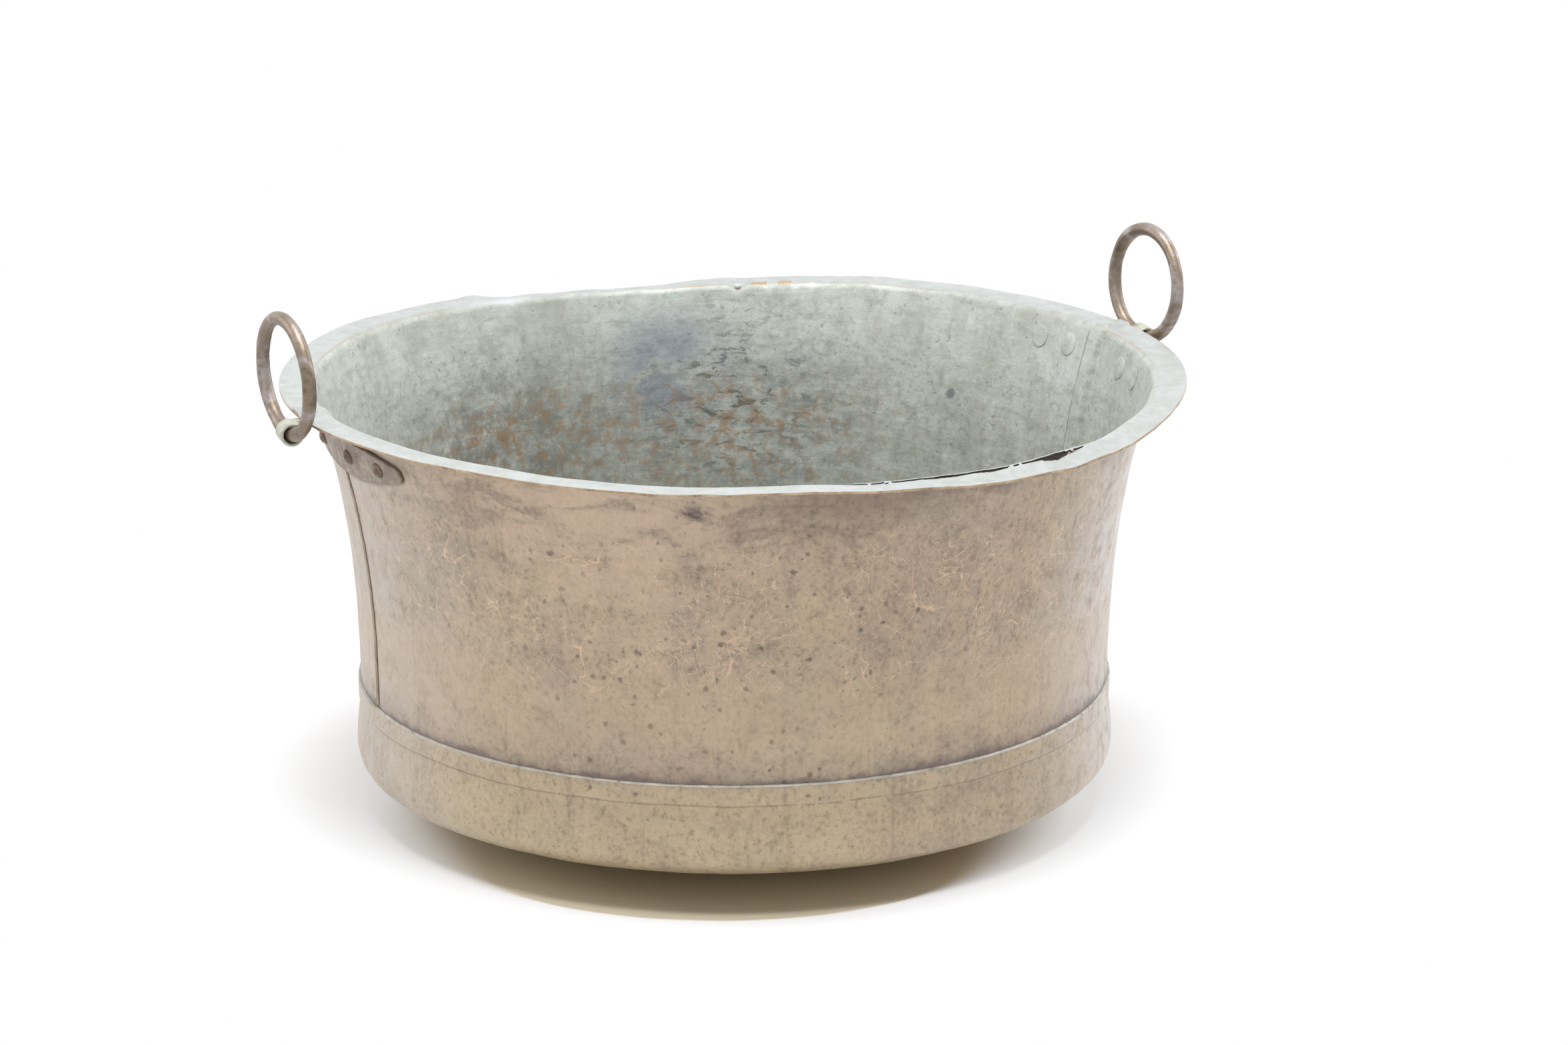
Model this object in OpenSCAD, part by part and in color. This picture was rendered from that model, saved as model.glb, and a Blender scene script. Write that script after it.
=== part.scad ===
// Round copper tub with a turned-out lip, a domed base and two swinging ring handles.
// Millimetres, +Z up. The origin is the centre of the flat spot that the base stands on.
// The handles lie on the X axis, and the front is towards -Y.

/* [Wall] */
// Outer radius of the lip
rim_r = 380; // [340:1:420]
// Height of the lip's top above the floor
rim_h = 365; // [320:1:420]
// Width of the flat lip, out to its edge
lip_w = 25; // [18:0.5:34]
// Radius of the turn from the wall into the lip
lip_turn_r = 7; // [5:0.5:12]
// Outer radius of the wall at its narrowest
neck_r = 318.5; // [290:0.5:330]
// Height at which the wall starts to flare
neck_h = 128; // [115:1:170]
// How late the flare opens, where 1 is a straight cone
flare_power = 2.25; // [1.6:0.05:3]
// Thickness of the copper sheet
sheet_t = 2; // [1.5:0.1:3]

/* [Wall seams] */
// Angle of the left seam, measured from the right handle
left_seam = 178.5; // [177.5:0.1:179]
// Angle of the right seam, measured from the right handle
right_seam = 0.9; // [0.4:0.1:1.4]
// Width of the front sheet's lap behind the rear sheet
lap_w = 12; // [8:0.5:13]
// Width of the step that takes the lap behind the rear sheet
lap_step_w = 3.5; // [2:0.5:5]
// Open groove between the two sheets at a seam
groove_w = 0.6; // [0.4:0.1:1]
// Width of a bead of solder along a seam
bead_w = 3; // [2:0.5:5]
// Height of a bead of solder above the sheet
bead_h = 0.7; // [0.4:0.1:1.2]

/* [Base] */
// Radius of the flat spot that the tub stands on
rest_r = 110; // [80:1:150]
// Radius of curvature of the domed bottom
dome_r = 1250; // [1000:10:2000]
// How far the base's side swells out past its collar
belly_out = 2; // [0:0.1:8]
// Radius of the turn from the bottom into the side
knuckle_r = 21; // [14:1:30]
// Height of the collar's top edge, where the base laps over the wall
collar_top_h = 110; // [106:1:114]
// How far the collar laps over the wall
collar_lap = 14; // [10:1:18]
// How deep the crease below the collar is set in
crease_in = 1.35; // [1:0.05:1.8]
// Height of the sloping step between crease and collar
crease_step_h = 3.5; // [2.5:0.5:5]

/* [Handle brackets] */
// Thickness of the bracket's plate and strap
plate_t = 3; // [2.5:0.1:4]
// Half the length of the leaf-shaped plate
plate_half_l = 104; // [92:1:120]
// Half the height of the plate at its middle
plate_half_h = 17; // [14:0.5:20]
// Radius of the leaf's round tips
leaf_tip_r = 7; // [4:0.5:10]
// Height of the left plate's middle line below the lip's top
left_plate_drop = 30; // [22:0.5:32]
// Height of the right plate's middle line below the lip's top
right_plate_drop = 23.5; // [22:0.5:32]
// Width of the strap that is curled into the eye
strap_w = 20; // [16:1:24]
// How far the left eye's middle lies outside the lip's edge
left_eye_reach = 9.5; // [8:0.5:12]
// How far the right eye's middle lies outside the lip's edge
right_eye_reach = 10.5; // [8:0.5:12]
// How far the left eye's middle lies below the lip's top
left_eye_drop = 9; // [3:0.5:10]
// How far the right eye's middle lies below the lip's top
right_eye_drop = 4; // [3:0.5:10]
// How far the left eye is turned about the upright, out of line with the lip
left_twist = 5.2; // [-8:0.1:8]
// How far the right eye is turned about the upright, out of line with the lip
right_twist = 6.3; // [-8:0.1:8]
// Radius of the eye's bore
eye_bore_r = 7; // [6.8:0.1:8]
// Thickness of the curled strap round the eye
curl_t = 2.5; // [2:0.1:3]
// How far round the curl goes, from the strap to its loose end
curl_angle = 325; // [290:1:330]

/* [Rivets] */
// Distance of the inner rivets from the handle's middle, along the wall
rivet_near = 48; // [34:0.5:52]
// Distance of the outer rivets from the handle's middle, along the wall
rivet_far = 88; // [76:0.5:90]
// The same for the inner rivet on the front side of the left handle
left_front_near = 22; // [20:0.5:48]
// The same for the outer rivet on the front side of the left handle
left_front_far = 74; // [70:0.5:90]
// Radius of a rivet's shank
shank_r = 4; // [3:0.1:5]
// Radius of the domed head outside
dome_head_r = 6.75; // [6:0.25:8]
// Height of the domed head outside
dome_head_h = 3.6; // [2.5:0.1:5]
// Radius of the hammered flat head inside
flat_head_r = 10; // [8:0.5:10.5]
// Height of the hammered flat head inside
flat_head_h = 1.8; // [1.2:0.1:2.5]

/* [Rings] */
// Radius of the ring, to the middle of its bar
ring_r = 47.3; // [42:0.1:55]
// Radius of the ring's bar
bar_r = 6; // [5:0.1:6.1]
// Outward lean of the left ring as it stands
left_lean = 1.9; // [-10:0.1:90]
// Outward lean of the right ring as it stands
right_lean = 2.6; // [-10:0.1:90]

/* [Fits] */
// Clearance between sheets that are soldered face to face
solder_fit = 0.1; // [0.05:0.05:0.3]
// Clearance between a bracket and the wall that it is riveted to
plate_fit = 0.15; // [0.1:0.05:0.3]
// Clearance round a rivet's shank
shank_fit = 0.1; // [0.05:0.05:0.3]
// Clearance under a rivet's flat seat, because the wall is curved
seat_fit = 0.2; // [0.15:0.05:0.4]
// Gap under the wall's lower edge, where it sits on the base's crease
edge_fit = 0.25; // [0.1:0.05:0.5]

/* [Hidden] */
$fn = 96;
copper = [0.62, 0.49, 0.39];
copper_rear = [0.58, 0.46, 0.37];
copper_base = [0.60, 0.50, 0.37];
bronze = [0.42, 0.35, 0.28];
tinned = [0.55, 0.53, 0.46];
solder = [0.66, 0.66, 0.62];
// Points along a curved stretch of a profile
flare_steps = 16;
turn_steps = 8;
dome_steps = 6;
degrees_per_radian = 180 / PI;

// Every profile is a list of [radius, height, lean]: a point on the outer face of the sheet
// and the angle of the sheet there from upright, so that 0 is a wall and 90 is a floor.
function across(p, depth) = [p[0] - depth * cos(p[2]), p[1] + depth * sin(p[2])];
// The stretch of sheet between two depths below its outer face, as a closed outline
function section(path, outer, inner) = concat(
    [for (p = path) across(p, outer)],
    [for (i = [len(path) - 1 : -1 : 0]) across(path[i], inner)]
);
function arc_degrees(length, radius) = length / radius * degrees_per_radian;

// Flared wall and lip
mouth_r = rim_r - lip_w;
function flare_share(h) = max(0, (h - neck_h) / (rim_h - neck_h));
function wall_r(h) = neck_r + (mouth_r - neck_r) * pow(flare_share(h), flare_power);
function wall_lean(h) = atan(
    (mouth_r - neck_r) * flare_power * pow(flare_share(h), flare_power - 1) / (rim_h - neck_h)
);
lip_under_h = rim_h - sheet_t;
turn_lean = wall_lean(lip_under_h - lip_turn_r);
turn_start_h = lip_under_h - lip_turn_r * (1 - sin(turn_lean));
turn_centre = [wall_r(turn_start_h) + lip_turn_r * cos(turn_lean), lip_under_h - lip_turn_r];
wall_low_h = collar_top_h - collar_lap + edge_fit;
wall_path = concat(
    [[neck_r, wall_low_h, 0]],
    [for (i = [0 : flare_steps])
        let (h = neck_h + (turn_start_h - neck_h) * i / flare_steps)
        [wall_r(h), h, i == flare_steps ? turn_lean : wall_lean(h)]],
    [for (i = [1 : turn_steps])
        let (lean = turn_lean + (90 - turn_lean) * i / turn_steps)
        [turn_centre[0] - lip_turn_r * cos(lean), turn_centre[1] + lip_turn_r * sin(lean), lean]],
    [[rim_r, lip_under_h, 90]]
);
// The same profile, run past both edges of the wall, for cutting it
cut_past = 1;
cut_path = concat([[neck_r, wall_low_h - cut_past, 0]], wall_path, [[rim_r + cut_past, lip_under_h, 90]]);
lap_angle = arc_degrees(lap_w, neck_r);
lap_step_angle = arc_degrees(lap_step_w, neck_r);
groove_angle = arc_degrees(groove_w, neck_r);
bead_angle = arc_degrees(bead_w, neck_r);

// Base: flat spot, dome, knuckle, side, crease and collar
collar_r = neck_r + solder_fit + sheet_t;
crease_r = collar_r - crease_in;
collar_low_h = collar_top_h - collar_lap;
crease_h = collar_low_h - crease_step_h;
belly_r = collar_r + belly_out;
knuckle_centre_r = belly_r - knuckle_r;
knuckle_start = asin(knuckle_centre_r / (dome_r - knuckle_r));
dome_start = asin(rest_r / dome_r);
knuckle_centre_h = dome_r * cos(dome_start) - (dome_r - knuckle_r) * cos(knuckle_start);
base_path = concat(
    [[0, 0, 90]],
    [for (i = [0 : dome_steps])
        let (a = dome_start + (knuckle_start - dome_start) * i / dome_steps)
        [dome_r * sin(a), dome_r * (cos(dome_start) - cos(a)), 90 - a]],
    [for (i = [1 : turn_steps])
        let (a = knuckle_start + (90 - knuckle_start) * i / turn_steps)
        [knuckle_centre_r + knuckle_r * sin(a), knuckle_centre_h - knuckle_r * cos(a), 90 - a]],
    [for (i = [1 : dome_steps])
        let (s = i / dome_steps)
        [belly_r - (belly_r - crease_r) * s * s, knuckle_centre_h + (crease_h - knuckle_centre_h) * s, 0]],
    [[collar_r, collar_low_h, 0], [collar_r, collar_top_h, 0]]
);

// Handle brackets
left_eye = [rim_r + left_eye_reach, 0, rim_h - left_eye_drop];
right_eye = [rim_r + right_eye_reach, 0, rim_h - right_eye_drop];
left_plate_h = rim_h - left_plate_drop;
right_plate_h = rim_h - right_plate_drop;
strap_under_h = lip_under_h - plate_fit - plate_t;
// The strap's end stops this far short of the bore
strap_stop = 0.5;
// The curl starts this many degrees below the strap, so that the two join in a small shoulder
shoulder_turn = 13;
plate_reach = arc_degrees(plate_half_l + leaf_tip_r, neck_r);
// The leaf's long edges are arcs that run into its round tips
leaf_edge_fn = 960;
leaf_tip_y = plate_half_l - leaf_tip_r;
leaf_edge_r = (pow(leaf_tip_y, 2) + pow(plate_half_h, 2) - pow(leaf_tip_r, 2)) / (2 * (plate_half_h - leaf_tip_r));
leaf_edge_y = leaf_tip_y * leaf_edge_r / (leaf_edge_r - leaf_tip_r);

// Rivets
right_rivets = [-rivet_far, -rivet_near, rivet_near, rivet_far];
left_rivets = [-rivet_far, -rivet_near, left_front_near, left_front_far];
head_out = plate_fit + plate_t + seat_fit;
head_in = sheet_t + seat_fit;
dome_head_curve = (pow(dome_head_r, 2) + pow(dome_head_h, 2)) / (2 * dome_head_h);
dome_head_reach = asin(dome_head_r / dome_head_curve);
// Bevel round the hammered head, and a depth that takes a hole through plate and wall
flat_head_edge = 0.7;
hole_depth = 4 * (sheet_t + plate_t);

// Rings: the bar hangs this far below the eye's middle, so that its curve fits the bore
ring_sink = (ring_r - sqrt(pow(ring_r, 2) - pow(strap_w / 2, 2))) / 2;

// Turns a profile of the sheet round the tub from one angle to another
module turned(path, outer, inner, from_angle, to_angle) {
    rotate([0, 0, from_angle])
        rotate_extrude(angle = to_angle - from_angle)
            polygon(section(path, outer, inner));
}

// Puts a shape that points along +X at a rivet's place, square to the wall
module at_rivet(distance, h) {
    rotate([0, 0, arc_degrees(distance, wall_r(h))])
        translate([wall_r(h), 0, h])
            rotate([0, wall_lean(h), 0])
                children();
}

module rivet_holes(distances, h) {
    for (distance = distances)
        at_rivet(distance, h)
            rotate([0, 90, 0])
                cylinder(r = shank_r + shank_fit, h = hole_depth, center = true);
}

module holes_in_wall() {
    rivet_holes(right_rivets, right_plate_h);
    rotate([0, 0, 180])
        rivet_holes(left_rivets, left_plate_h);
}

// The front sheet is cut from a wall of double depth. Inside, all but its two ends is taken down
// to one sheet, and outside, each end is taken down to the lap that goes behind the rear sheet.
module front_wall_sheet() {
    double = 2 * sheet_t + solder_fit;
    color(copper)
        difference() {
            turned(wall_path, 0, double, left_seam - lap_angle, right_seam + 360 + lap_angle);
            turned(cut_path, sheet_t, double + cut_past,
                left_seam + lap_step_angle, right_seam + 360 - lap_step_angle);
            turned(cut_path, -cut_past, sheet_t + solder_fit, left_seam - 2 * lap_angle, left_seam);
            turned(cut_path, -cut_past, sheet_t + solder_fit, right_seam, right_seam + 2 * lap_angle);
            holes_in_wall();
        }
}

module rear_wall_sheet() {
    color(copper_rear)
        difference() {
            turned(wall_path, 0, sheet_t, right_seam + groove_angle, left_seam - groove_angle);
            holes_in_wall();
        }
}

module base_pan() {
    color(copper_base)
        rotate_extrude()
            polygon(section(base_path, 0, sheet_t));
}

// A fillet of solder on the collar's top edge, all round
module base_seam_solder() {
    low = collar_top_h + solder_fit;
    inside = neck_r + solder_fit;
    color(solder)
        rotate_extrude()
            polygon([[inside, low], [collar_r, low], [inside + bead_h / 2, low + sheet_t], [inside, low + sheet_t]]);
}

// The upright stretch of the wall between two heights, for the beads
function wall_between(low, high) = [for (i = [0 : flare_steps])
    let (h = low + (high - low) * i / flare_steps) [wall_r(h), h, wall_lean(h)]];

// Solder in a seam: a bead outside over the groove and one inside along the lap's free edge
module seam_solder(seam, lap_side, plate_h) {
    outside = wall_between(collar_top_h + 2 * sheet_t, plate_h - plate_half_h - sheet_t);
    inside = wall_between(wall_low_h, turn_start_h);
    near_edge = seam + lap_side * (lap_angle + groove_angle);
    far_edge = near_edge + lap_side * bead_angle;
    color(solder) {
        turned(outside, -bead_h - solder_fit, -solder_fit, seam - bead_angle / 2, seam + bead_angle / 2);
        turned(inside, sheet_t + solder_fit, sheet_t + solder_fit + bead_h,
            min(near_edge, far_edge), max(near_edge, far_edge));
    }
}

module left_seam_solder() {
    seam_solder(left_seam, -1, left_plate_h);
}

module right_seam_solder() {
    seam_solder(right_seam, 1, right_plate_h);
}

// The leaf outline as seen from outside, with its length along the wall
module leaf_outline(plate_h) {
    translate([0, plate_h]) {
        intersection() {
            translate([0, plate_half_h - leaf_edge_r])
                circle(r = leaf_edge_r, $fn = leaf_edge_fn);
            translate([0, leaf_edge_r - plate_half_h])
                circle(r = leaf_edge_r, $fn = leaf_edge_fn);
            square([2 * leaf_edge_y, 2 * plate_half_h + leaf_tip_r], center = true);
        }
        for (side = [-1, 1])
            translate([side * leaf_tip_y, 0])
                circle(r = leaf_tip_r);
    }
}

// A leaf-shaped plate follows the wall. Its strap runs out under the lip and curls round the ring's
// bar. The eye is the middle of the curl, which is turned about the upright by the twist.
module bracket(eye, twist, plate_h, rivets) {
    strap_low = strap_under_h - eye[2];
    strap_end_x = eye[0] - sqrt(pow(eye_bore_r, 2) - pow(strap_low, 2)) - strap_stop
        + strap_w / 2 * abs(sin(twist));
    strap_path = concat(
        [for (p = wall_path) if (p[1] > plate_h - 2 * plate_half_h) p],
        [[strap_end_x, lip_under_h, 90]]
    );
    difference() {
        intersection() {
            turned(strap_path, -plate_fit - plate_t, -plate_fit, -plate_reach, plate_reach);
            union() {
                rotate([90, 0, 90])
                    linear_extrude(height = eye[0])
                        leaf_outline(plate_h);
                translate([0, -strap_w / 2, plate_h])
                    cube([strap_end_x, strap_w, rim_h - plate_h]);
            }
        }
        rivet_holes(rivets, plate_h);
        translate(eye)
            rotate([90, 0, twist])
                cylinder(r = eye_bore_r + strap_stop, h = 2 * strap_w, center = true);
    }
    translate(eye)
        rotate([90, 0, twist])
            rotate([0, 0, 180 - asin(strap_low / eye_bore_r) + shoulder_turn - curl_angle])
                rotate_extrude(angle = curl_angle)
                    translate([eye_bore_r, -strap_w / 2])
                        square([curl_t, strap_w]);
}

module right_bracket() {
    color(tinned)
        bracket(right_eye, right_twist, right_plate_h, right_rivets);
}

module left_bracket() {
    color(tinned)
        rotate([0, 0, 180])
            bracket(left_eye, left_twist, left_plate_h, left_rivets);
}

// One rivet along +X: domed head outside, shank, flat hammered head inside
module rivet() {
    rotate([0, 90, 0])
        rotate_extrude()
            polygon(concat(
                [[0, -head_in - flat_head_h], [flat_head_r - flat_head_edge, -head_in - flat_head_h]],
                [[flat_head_r, -head_in - flat_head_h + flat_head_edge], [flat_head_r, -head_in]],
                [[shank_r, -head_in], [shank_r, head_out]],
                [for (i = [0 : turn_steps])
                    let (a = dome_head_reach * (1 - i / turn_steps))
                    [dome_head_curve * sin(a), head_out + dome_head_h - dome_head_curve * (1 - cos(a))]]
            ));
}

module rivets_at(distances, h) {
    color(bronze)
        for (distance = distances)
            at_rivet(distance, h)
                rivet();
}

module right_bracket_rivets() {
    rivets_at(right_rivets, right_plate_h);
}

module left_bracket_rivets() {
    rotate([0, 0, 180])
        rivets_at(left_rivets, left_plate_h);
}

// A ring that stands on its lowest point in the eye, in line with the curl and leaning outwards
module ring(eye, twist, lean) {
    color(bronze)
        translate(eye)
            rotate([0, lean, twist])
                translate([0, 0, ring_r - ring_sink])
                    rotate([0, 90, 0])
                        rotate_extrude()
                            translate([ring_r, 0])
                                circle(r = bar_r, $fn = 48);
}

module right_ring() {
    ring(right_eye, right_twist, right_lean);
}

module left_ring() {
    rotate([0, 0, 180])
        ring(left_eye, left_twist, left_lean);
}

front_wall_sheet();
rear_wall_sheet();
base_pan();
base_seam_solder();
left_seam_solder();
right_seam_solder();
left_bracket();
right_bracket();
left_bracket_rivets();
right_bracket_rivets();
left_ring();
right_ring();
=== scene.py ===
# %% [markdown]
# A round copper tub
#
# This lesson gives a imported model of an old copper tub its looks. The tub is two hammered wall
# sheets that lap at the sides, a domed base soldered round them, and two ring handles that swing
# in riveted brackets. The model comes first and stays as it is: each piece made here stands in
# the same place as the plain solid that it replaces, and moves with the same body.

from math import asin, atan, atan2, cos, degrees, exp, hypot, pi, radians, sin, sqrt

import bpy
from mathutils import Matrix, Vector, noise


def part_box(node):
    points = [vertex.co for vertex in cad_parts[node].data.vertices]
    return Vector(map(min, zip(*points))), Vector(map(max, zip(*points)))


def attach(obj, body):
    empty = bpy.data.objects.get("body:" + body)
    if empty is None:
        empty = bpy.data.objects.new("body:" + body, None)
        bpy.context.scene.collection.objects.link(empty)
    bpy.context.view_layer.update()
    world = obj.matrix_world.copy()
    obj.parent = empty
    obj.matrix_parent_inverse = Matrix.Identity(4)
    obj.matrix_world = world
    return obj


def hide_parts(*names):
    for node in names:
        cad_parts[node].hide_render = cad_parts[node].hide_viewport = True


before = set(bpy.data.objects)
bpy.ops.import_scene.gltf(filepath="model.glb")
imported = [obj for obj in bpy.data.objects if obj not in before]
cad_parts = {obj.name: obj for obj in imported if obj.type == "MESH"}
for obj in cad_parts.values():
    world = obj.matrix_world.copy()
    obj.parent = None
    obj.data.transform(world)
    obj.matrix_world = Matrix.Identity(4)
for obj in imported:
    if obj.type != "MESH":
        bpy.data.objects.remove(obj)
bpy.ops.object.select_all(action="DESELECT")
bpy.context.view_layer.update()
print("nodes", sorted(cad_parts))

# %% [markdown]
# Camera
#
# The tub is seen from its front left, a little from above. A long lens from almost four metres
# keeps the round rim a calm ellipse. The camera could look at a target through a constraint, but
# two plain angles are easier to read, and other views can then move the camera freely.

# %% Camera
lens_mm = 99.04
camera_place = Vector((-1.3934, -3.2342, 1.2367))
view_turn = -24
view_tilt = 90 - 15.869

bpy.ops.object.camera_add(location=camera_place, rotation=(radians(view_tilt), 0, radians(view_turn)))
camera = bpy.context.object
camera.data.lens = lens_mm
bpy.context.scene.camera = camera
print("camera looks down by", round(90 - view_tilt, 1), "degrees")

# %% [markdown]
# Sizes
#
# Everything is in metres. The rim's radius, the wall's lower edge and the base's width are read
# from the model, and the other sizes are the ones that it was made with, so a piece made here fits
# it. The wall is upright at its neck and opens in a curve towards the mouth, where it turns out
# into a flat lip. One short formula gives its radius at every height.

# %% Sizes of the wall
wall_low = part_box("front_wall_sheet")[0]
rim_r = -wall_low.y
rim_h = 0.365
sheet_t = 0.002
lip_w = 0.025
lip_turn_r = 0.007
neck_r = 0.3185
neck_h = 0.128
flare_power = 2.25
mouth_r = rim_r - lip_w
lip_under_h = rim_h - sheet_t
left_seam = 178.5
right_seam = 0.9
groove = 0.108
lap_w = 0.012
lap_turn = degrees(lap_w / neck_r)
solder_fit = 0.0001


def flare_share(h):
    return max(0, (h - neck_h) / (rim_h - neck_h))


def wall_radius(h):
    """Radius of the wall's outer face at a height."""
    return neck_r + (mouth_r - neck_r) * flare_share(h) ** flare_power


def wall_lean(h):
    """Angle of the wall from upright at a height, in radians."""
    slope = (mouth_r - neck_r) * flare_power * flare_share(h) ** (flare_power - 1)
    return atan(slope / (rim_h - neck_h))


turn_lean = wall_lean(lip_under_h - lip_turn_r)
turn_start_h = lip_under_h - lip_turn_r * (1 - sin(turn_lean))
turn_centre_r = wall_radius(turn_start_h) + lip_turn_r * cos(turn_lean)
turn_centre_h = lip_under_h - lip_turn_r
print("mouth radius", round(mouth_r, 4), "turn starts at", round(turn_start_h, 4))

# %% [markdown]
# Tools for shaping
#
# A sheet of metal starts as a profile: one point that is extruded from place to place, and is then
# spun round the tub's axis. Dents and bends are made as a smith would, by pushing the sheet a
# little here and there. Painted weights say where, and a Displace modifier moves the metal.
# Moving each point in code would do the same, but weights keep every push smooth and named.

# %% Soft passages and places
def ramp(value, low, high):
    """0 below one value and 1 above the other, with a soft passage between them."""
    share = min(1, max(0, (value - low) / (high - low)))
    return share * share * (3 - 2 * share)


def bump(value, middle, half_width):
    """1 at the middle, falling softly to either side."""
    return exp(-((value - middle) / half_width) ** 2)


def stretch(angle, start, full, fading, end):
    """1 along a stretch of the rim, with soft ends. The four angles are in degrees."""
    return ramp(angle, start, full) * (1 - ramp(angle, fading, end))


def turn_between(angle, other):
    """Signed angle in degrees from one direction to the other, the short way."""
    return (angle - other + 180) % 360 - 180


def angle_of(place):
    """Angle of a place round the tub, from 0 to 360 degrees."""
    return degrees(atan2(place.y, place.x)) % 360


def radius_of(place):
    """Distance of a place from the tub's axis."""
    return hypot(place.x, place.y)


def on_wall(angle, radius, height):
    """The place at an angle, radius and height."""
    return Vector((radius * cos(radians(angle)), radius * sin(radians(angle)), height))


# %% Modifiers with painted weights
def use(piece):
    """Makes a piece the only one that operators act on."""
    bpy.ops.object.select_all(action="DESELECT")
    piece.select_set(True)
    bpy.context.view_layer.objects.active = piece


def finish_with(piece, kind, **settings):
    """Adds one modifier, sets it and applies it."""
    use(piece)
    made = piece.modifiers.new(kind, kind)
    for name, value in settings.items():
        setattr(made, name, value)
    bpy.ops.object.modifier_apply(modifier=made.name)


def displace(piece, share, **settings):
    """Moves the metal with a Displace modifier, by painted weights that a share gives each point."""
    weights = piece.vertex_groups.new(name="share")
    for vertex in piece.data.vertices:
        weights.add([vertex.index], min(1, max(0, share(vertex.co))), "REPLACE")
    finish_with(piece, "DISPLACE", vertex_group=weights.name, **settings)
    piece.vertex_groups.clear()


def bevel(piece, width, angle):
    """Takes the sharpness off every edge that is sharper than an angle in degrees."""
    finish_with(piece, "BEVEL", width=width, segments=2, limit_method="ANGLE", angle_limit=radians(angle))


def push(piece, direction, distance, share):
    """Moves the metal along an axis or its normals."""
    displace(piece, share, direction=direction, strength=distance, mid_level=0)


def hammer(piece, kind, size, depth, share, direction="NORMAL"):
    """Beats an uneven surface into the metal."""
    pattern = bpy.data.textures.new("hammering", kind)
    pattern.noise_scale = size
    displace(piece, share, direction=direction, strength=depth, mid_level=0.5, texture=pattern,
             texture_coords="LOCAL")


# %% Drawn profiles and their faces
def draw_profile(name, places):
    """Extrudes one point from place to place, and leaves the piece in edit mode."""
    bpy.ops.mesh.primitive_plane_add(size=0.01, location=places[0])
    piece = bpy.context.object
    piece.name = name
    bpy.ops.object.transform_apply(location=True, rotation=False, scale=False)
    bpy.ops.object.mode_set(mode="EDIT")
    bpy.ops.mesh.select_mode(type="VERT")
    bpy.ops.mesh.select_all(action="SELECT")
    bpy.ops.mesh.merge(type="CENTER")
    for here, there in zip(places, places[1:]):
        bpy.ops.mesh.extrude_region_move(TRANSFORM_OT_translate={"value": there - here})
    return piece


def spin_round(piece, sweep, steps):
    """Spins a drawn profile round the tub's axis. The operator counts its angle clockwise."""
    bpy.ops.mesh.select_all(action="SELECT")
    bpy.ops.mesh.spin(steps=steps, angle=-radians(sweep), center=(0, 0, 0), axis=(0, 0, 1))
    bpy.ops.mesh.select_all(action="SELECT")
    bpy.ops.mesh.remove_doubles(threshold=0.00001)
    bpy.ops.mesh.normals_make_consistent(inside=False)
    bpy.ops.object.mode_set(mode="OBJECT")


def face_out(piece):
    """Turns an open sheet's faces over if its side faces the tub's axis."""
    side = max(piece.data.polygons, key=lambda face: 1 - abs(face.normal.z))
    if side.normal.x * side.center.x + side.normal.y * side.center.y < 0:
        bpy.ops.object.mode_set(mode="EDIT")
        bpy.ops.mesh.select_all(action="SELECT")
        bpy.ops.mesh.flip_normals()
        bpy.ops.object.mode_set(mode="OBJECT")


def select_faces(piece, chosen):
    """Enters edit mode with just the faces selected that a test on their centres picks."""
    use(piece)
    bpy.ops.object.mode_set(mode="EDIT")
    bpy.ops.mesh.select_mode(type="FACE")
    bpy.ops.mesh.select_all(action="DESELECT")
    bpy.ops.object.mode_set(mode="OBJECT")
    for face in piece.data.polygons:
        face.select = chosen(face.center)
    bpy.ops.object.mode_set(mode="EDIT")


def smooth(piece, sharp_angle=40):
    """Shades a finished piece smooth, except over its sharp edges."""
    use(piece)
    bpy.ops.object.shade_smooth_by_angle(angle=radians(sharp_angle))
    print(piece.name, "has", len(piece.data.polygons), "faces")


# %% [markdown]
# Wall profile
#
# The profile follows the outer face of the sheet, from the lower edge that sits inside the base's
# collar, up the flare and round the turn to the edge of the lip. Rows lie closest in the turn and
# on the inner part of the lip, because that is where the old metal has cracked.

# %% Wall profile
neck_rows = 8
flare_rows = 62
turn_rows = 8
wall_low_h = wall_low.z
edge_room = 0.0005
cracked_radii = [0.3556 + 0.0004 * i for i in range(13)]
outer_radii = [0.3615 + 0.0023 * i for i in range(8)]
least_step = 0.0004


def wall_profile():
    """Radius and height of the wall's outer face, from its lower edge to the lip's edge."""
    rows = [(neck_r, wall_low_h + (neck_h - wall_low_h) * i / neck_rows) for i in range(neck_rows)]
    for i in range(flare_rows + 1):
        h = neck_h + (turn_start_h - neck_h) * i / flare_rows
        rows.append((wall_radius(h), h))
    for i in range(1, turn_rows + 1):
        lean = turn_lean + (pi / 2 - turn_lean) * i / turn_rows
        rows.append((turn_centre_r - lip_turn_r * cos(lean), turn_centre_h + lip_turn_r * sin(lean)))
    turned_r = rows[-1][0]
    rows += [(r, lip_under_h) for r in cracked_radii + outer_radii if r > turned_r + least_step]
    return rows + [(rim_r - edge_room, lip_under_h)]


def spun_wall(name, start, sweep, steps):
    """An open sheet of wall, from one angle on round the tub."""
    wall = draw_profile(name, [on_wall(start, r, h) for r, h in wall_profile()])
    spin_round(wall, sweep, steps)
    face_out(wall)
    return wall


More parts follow.
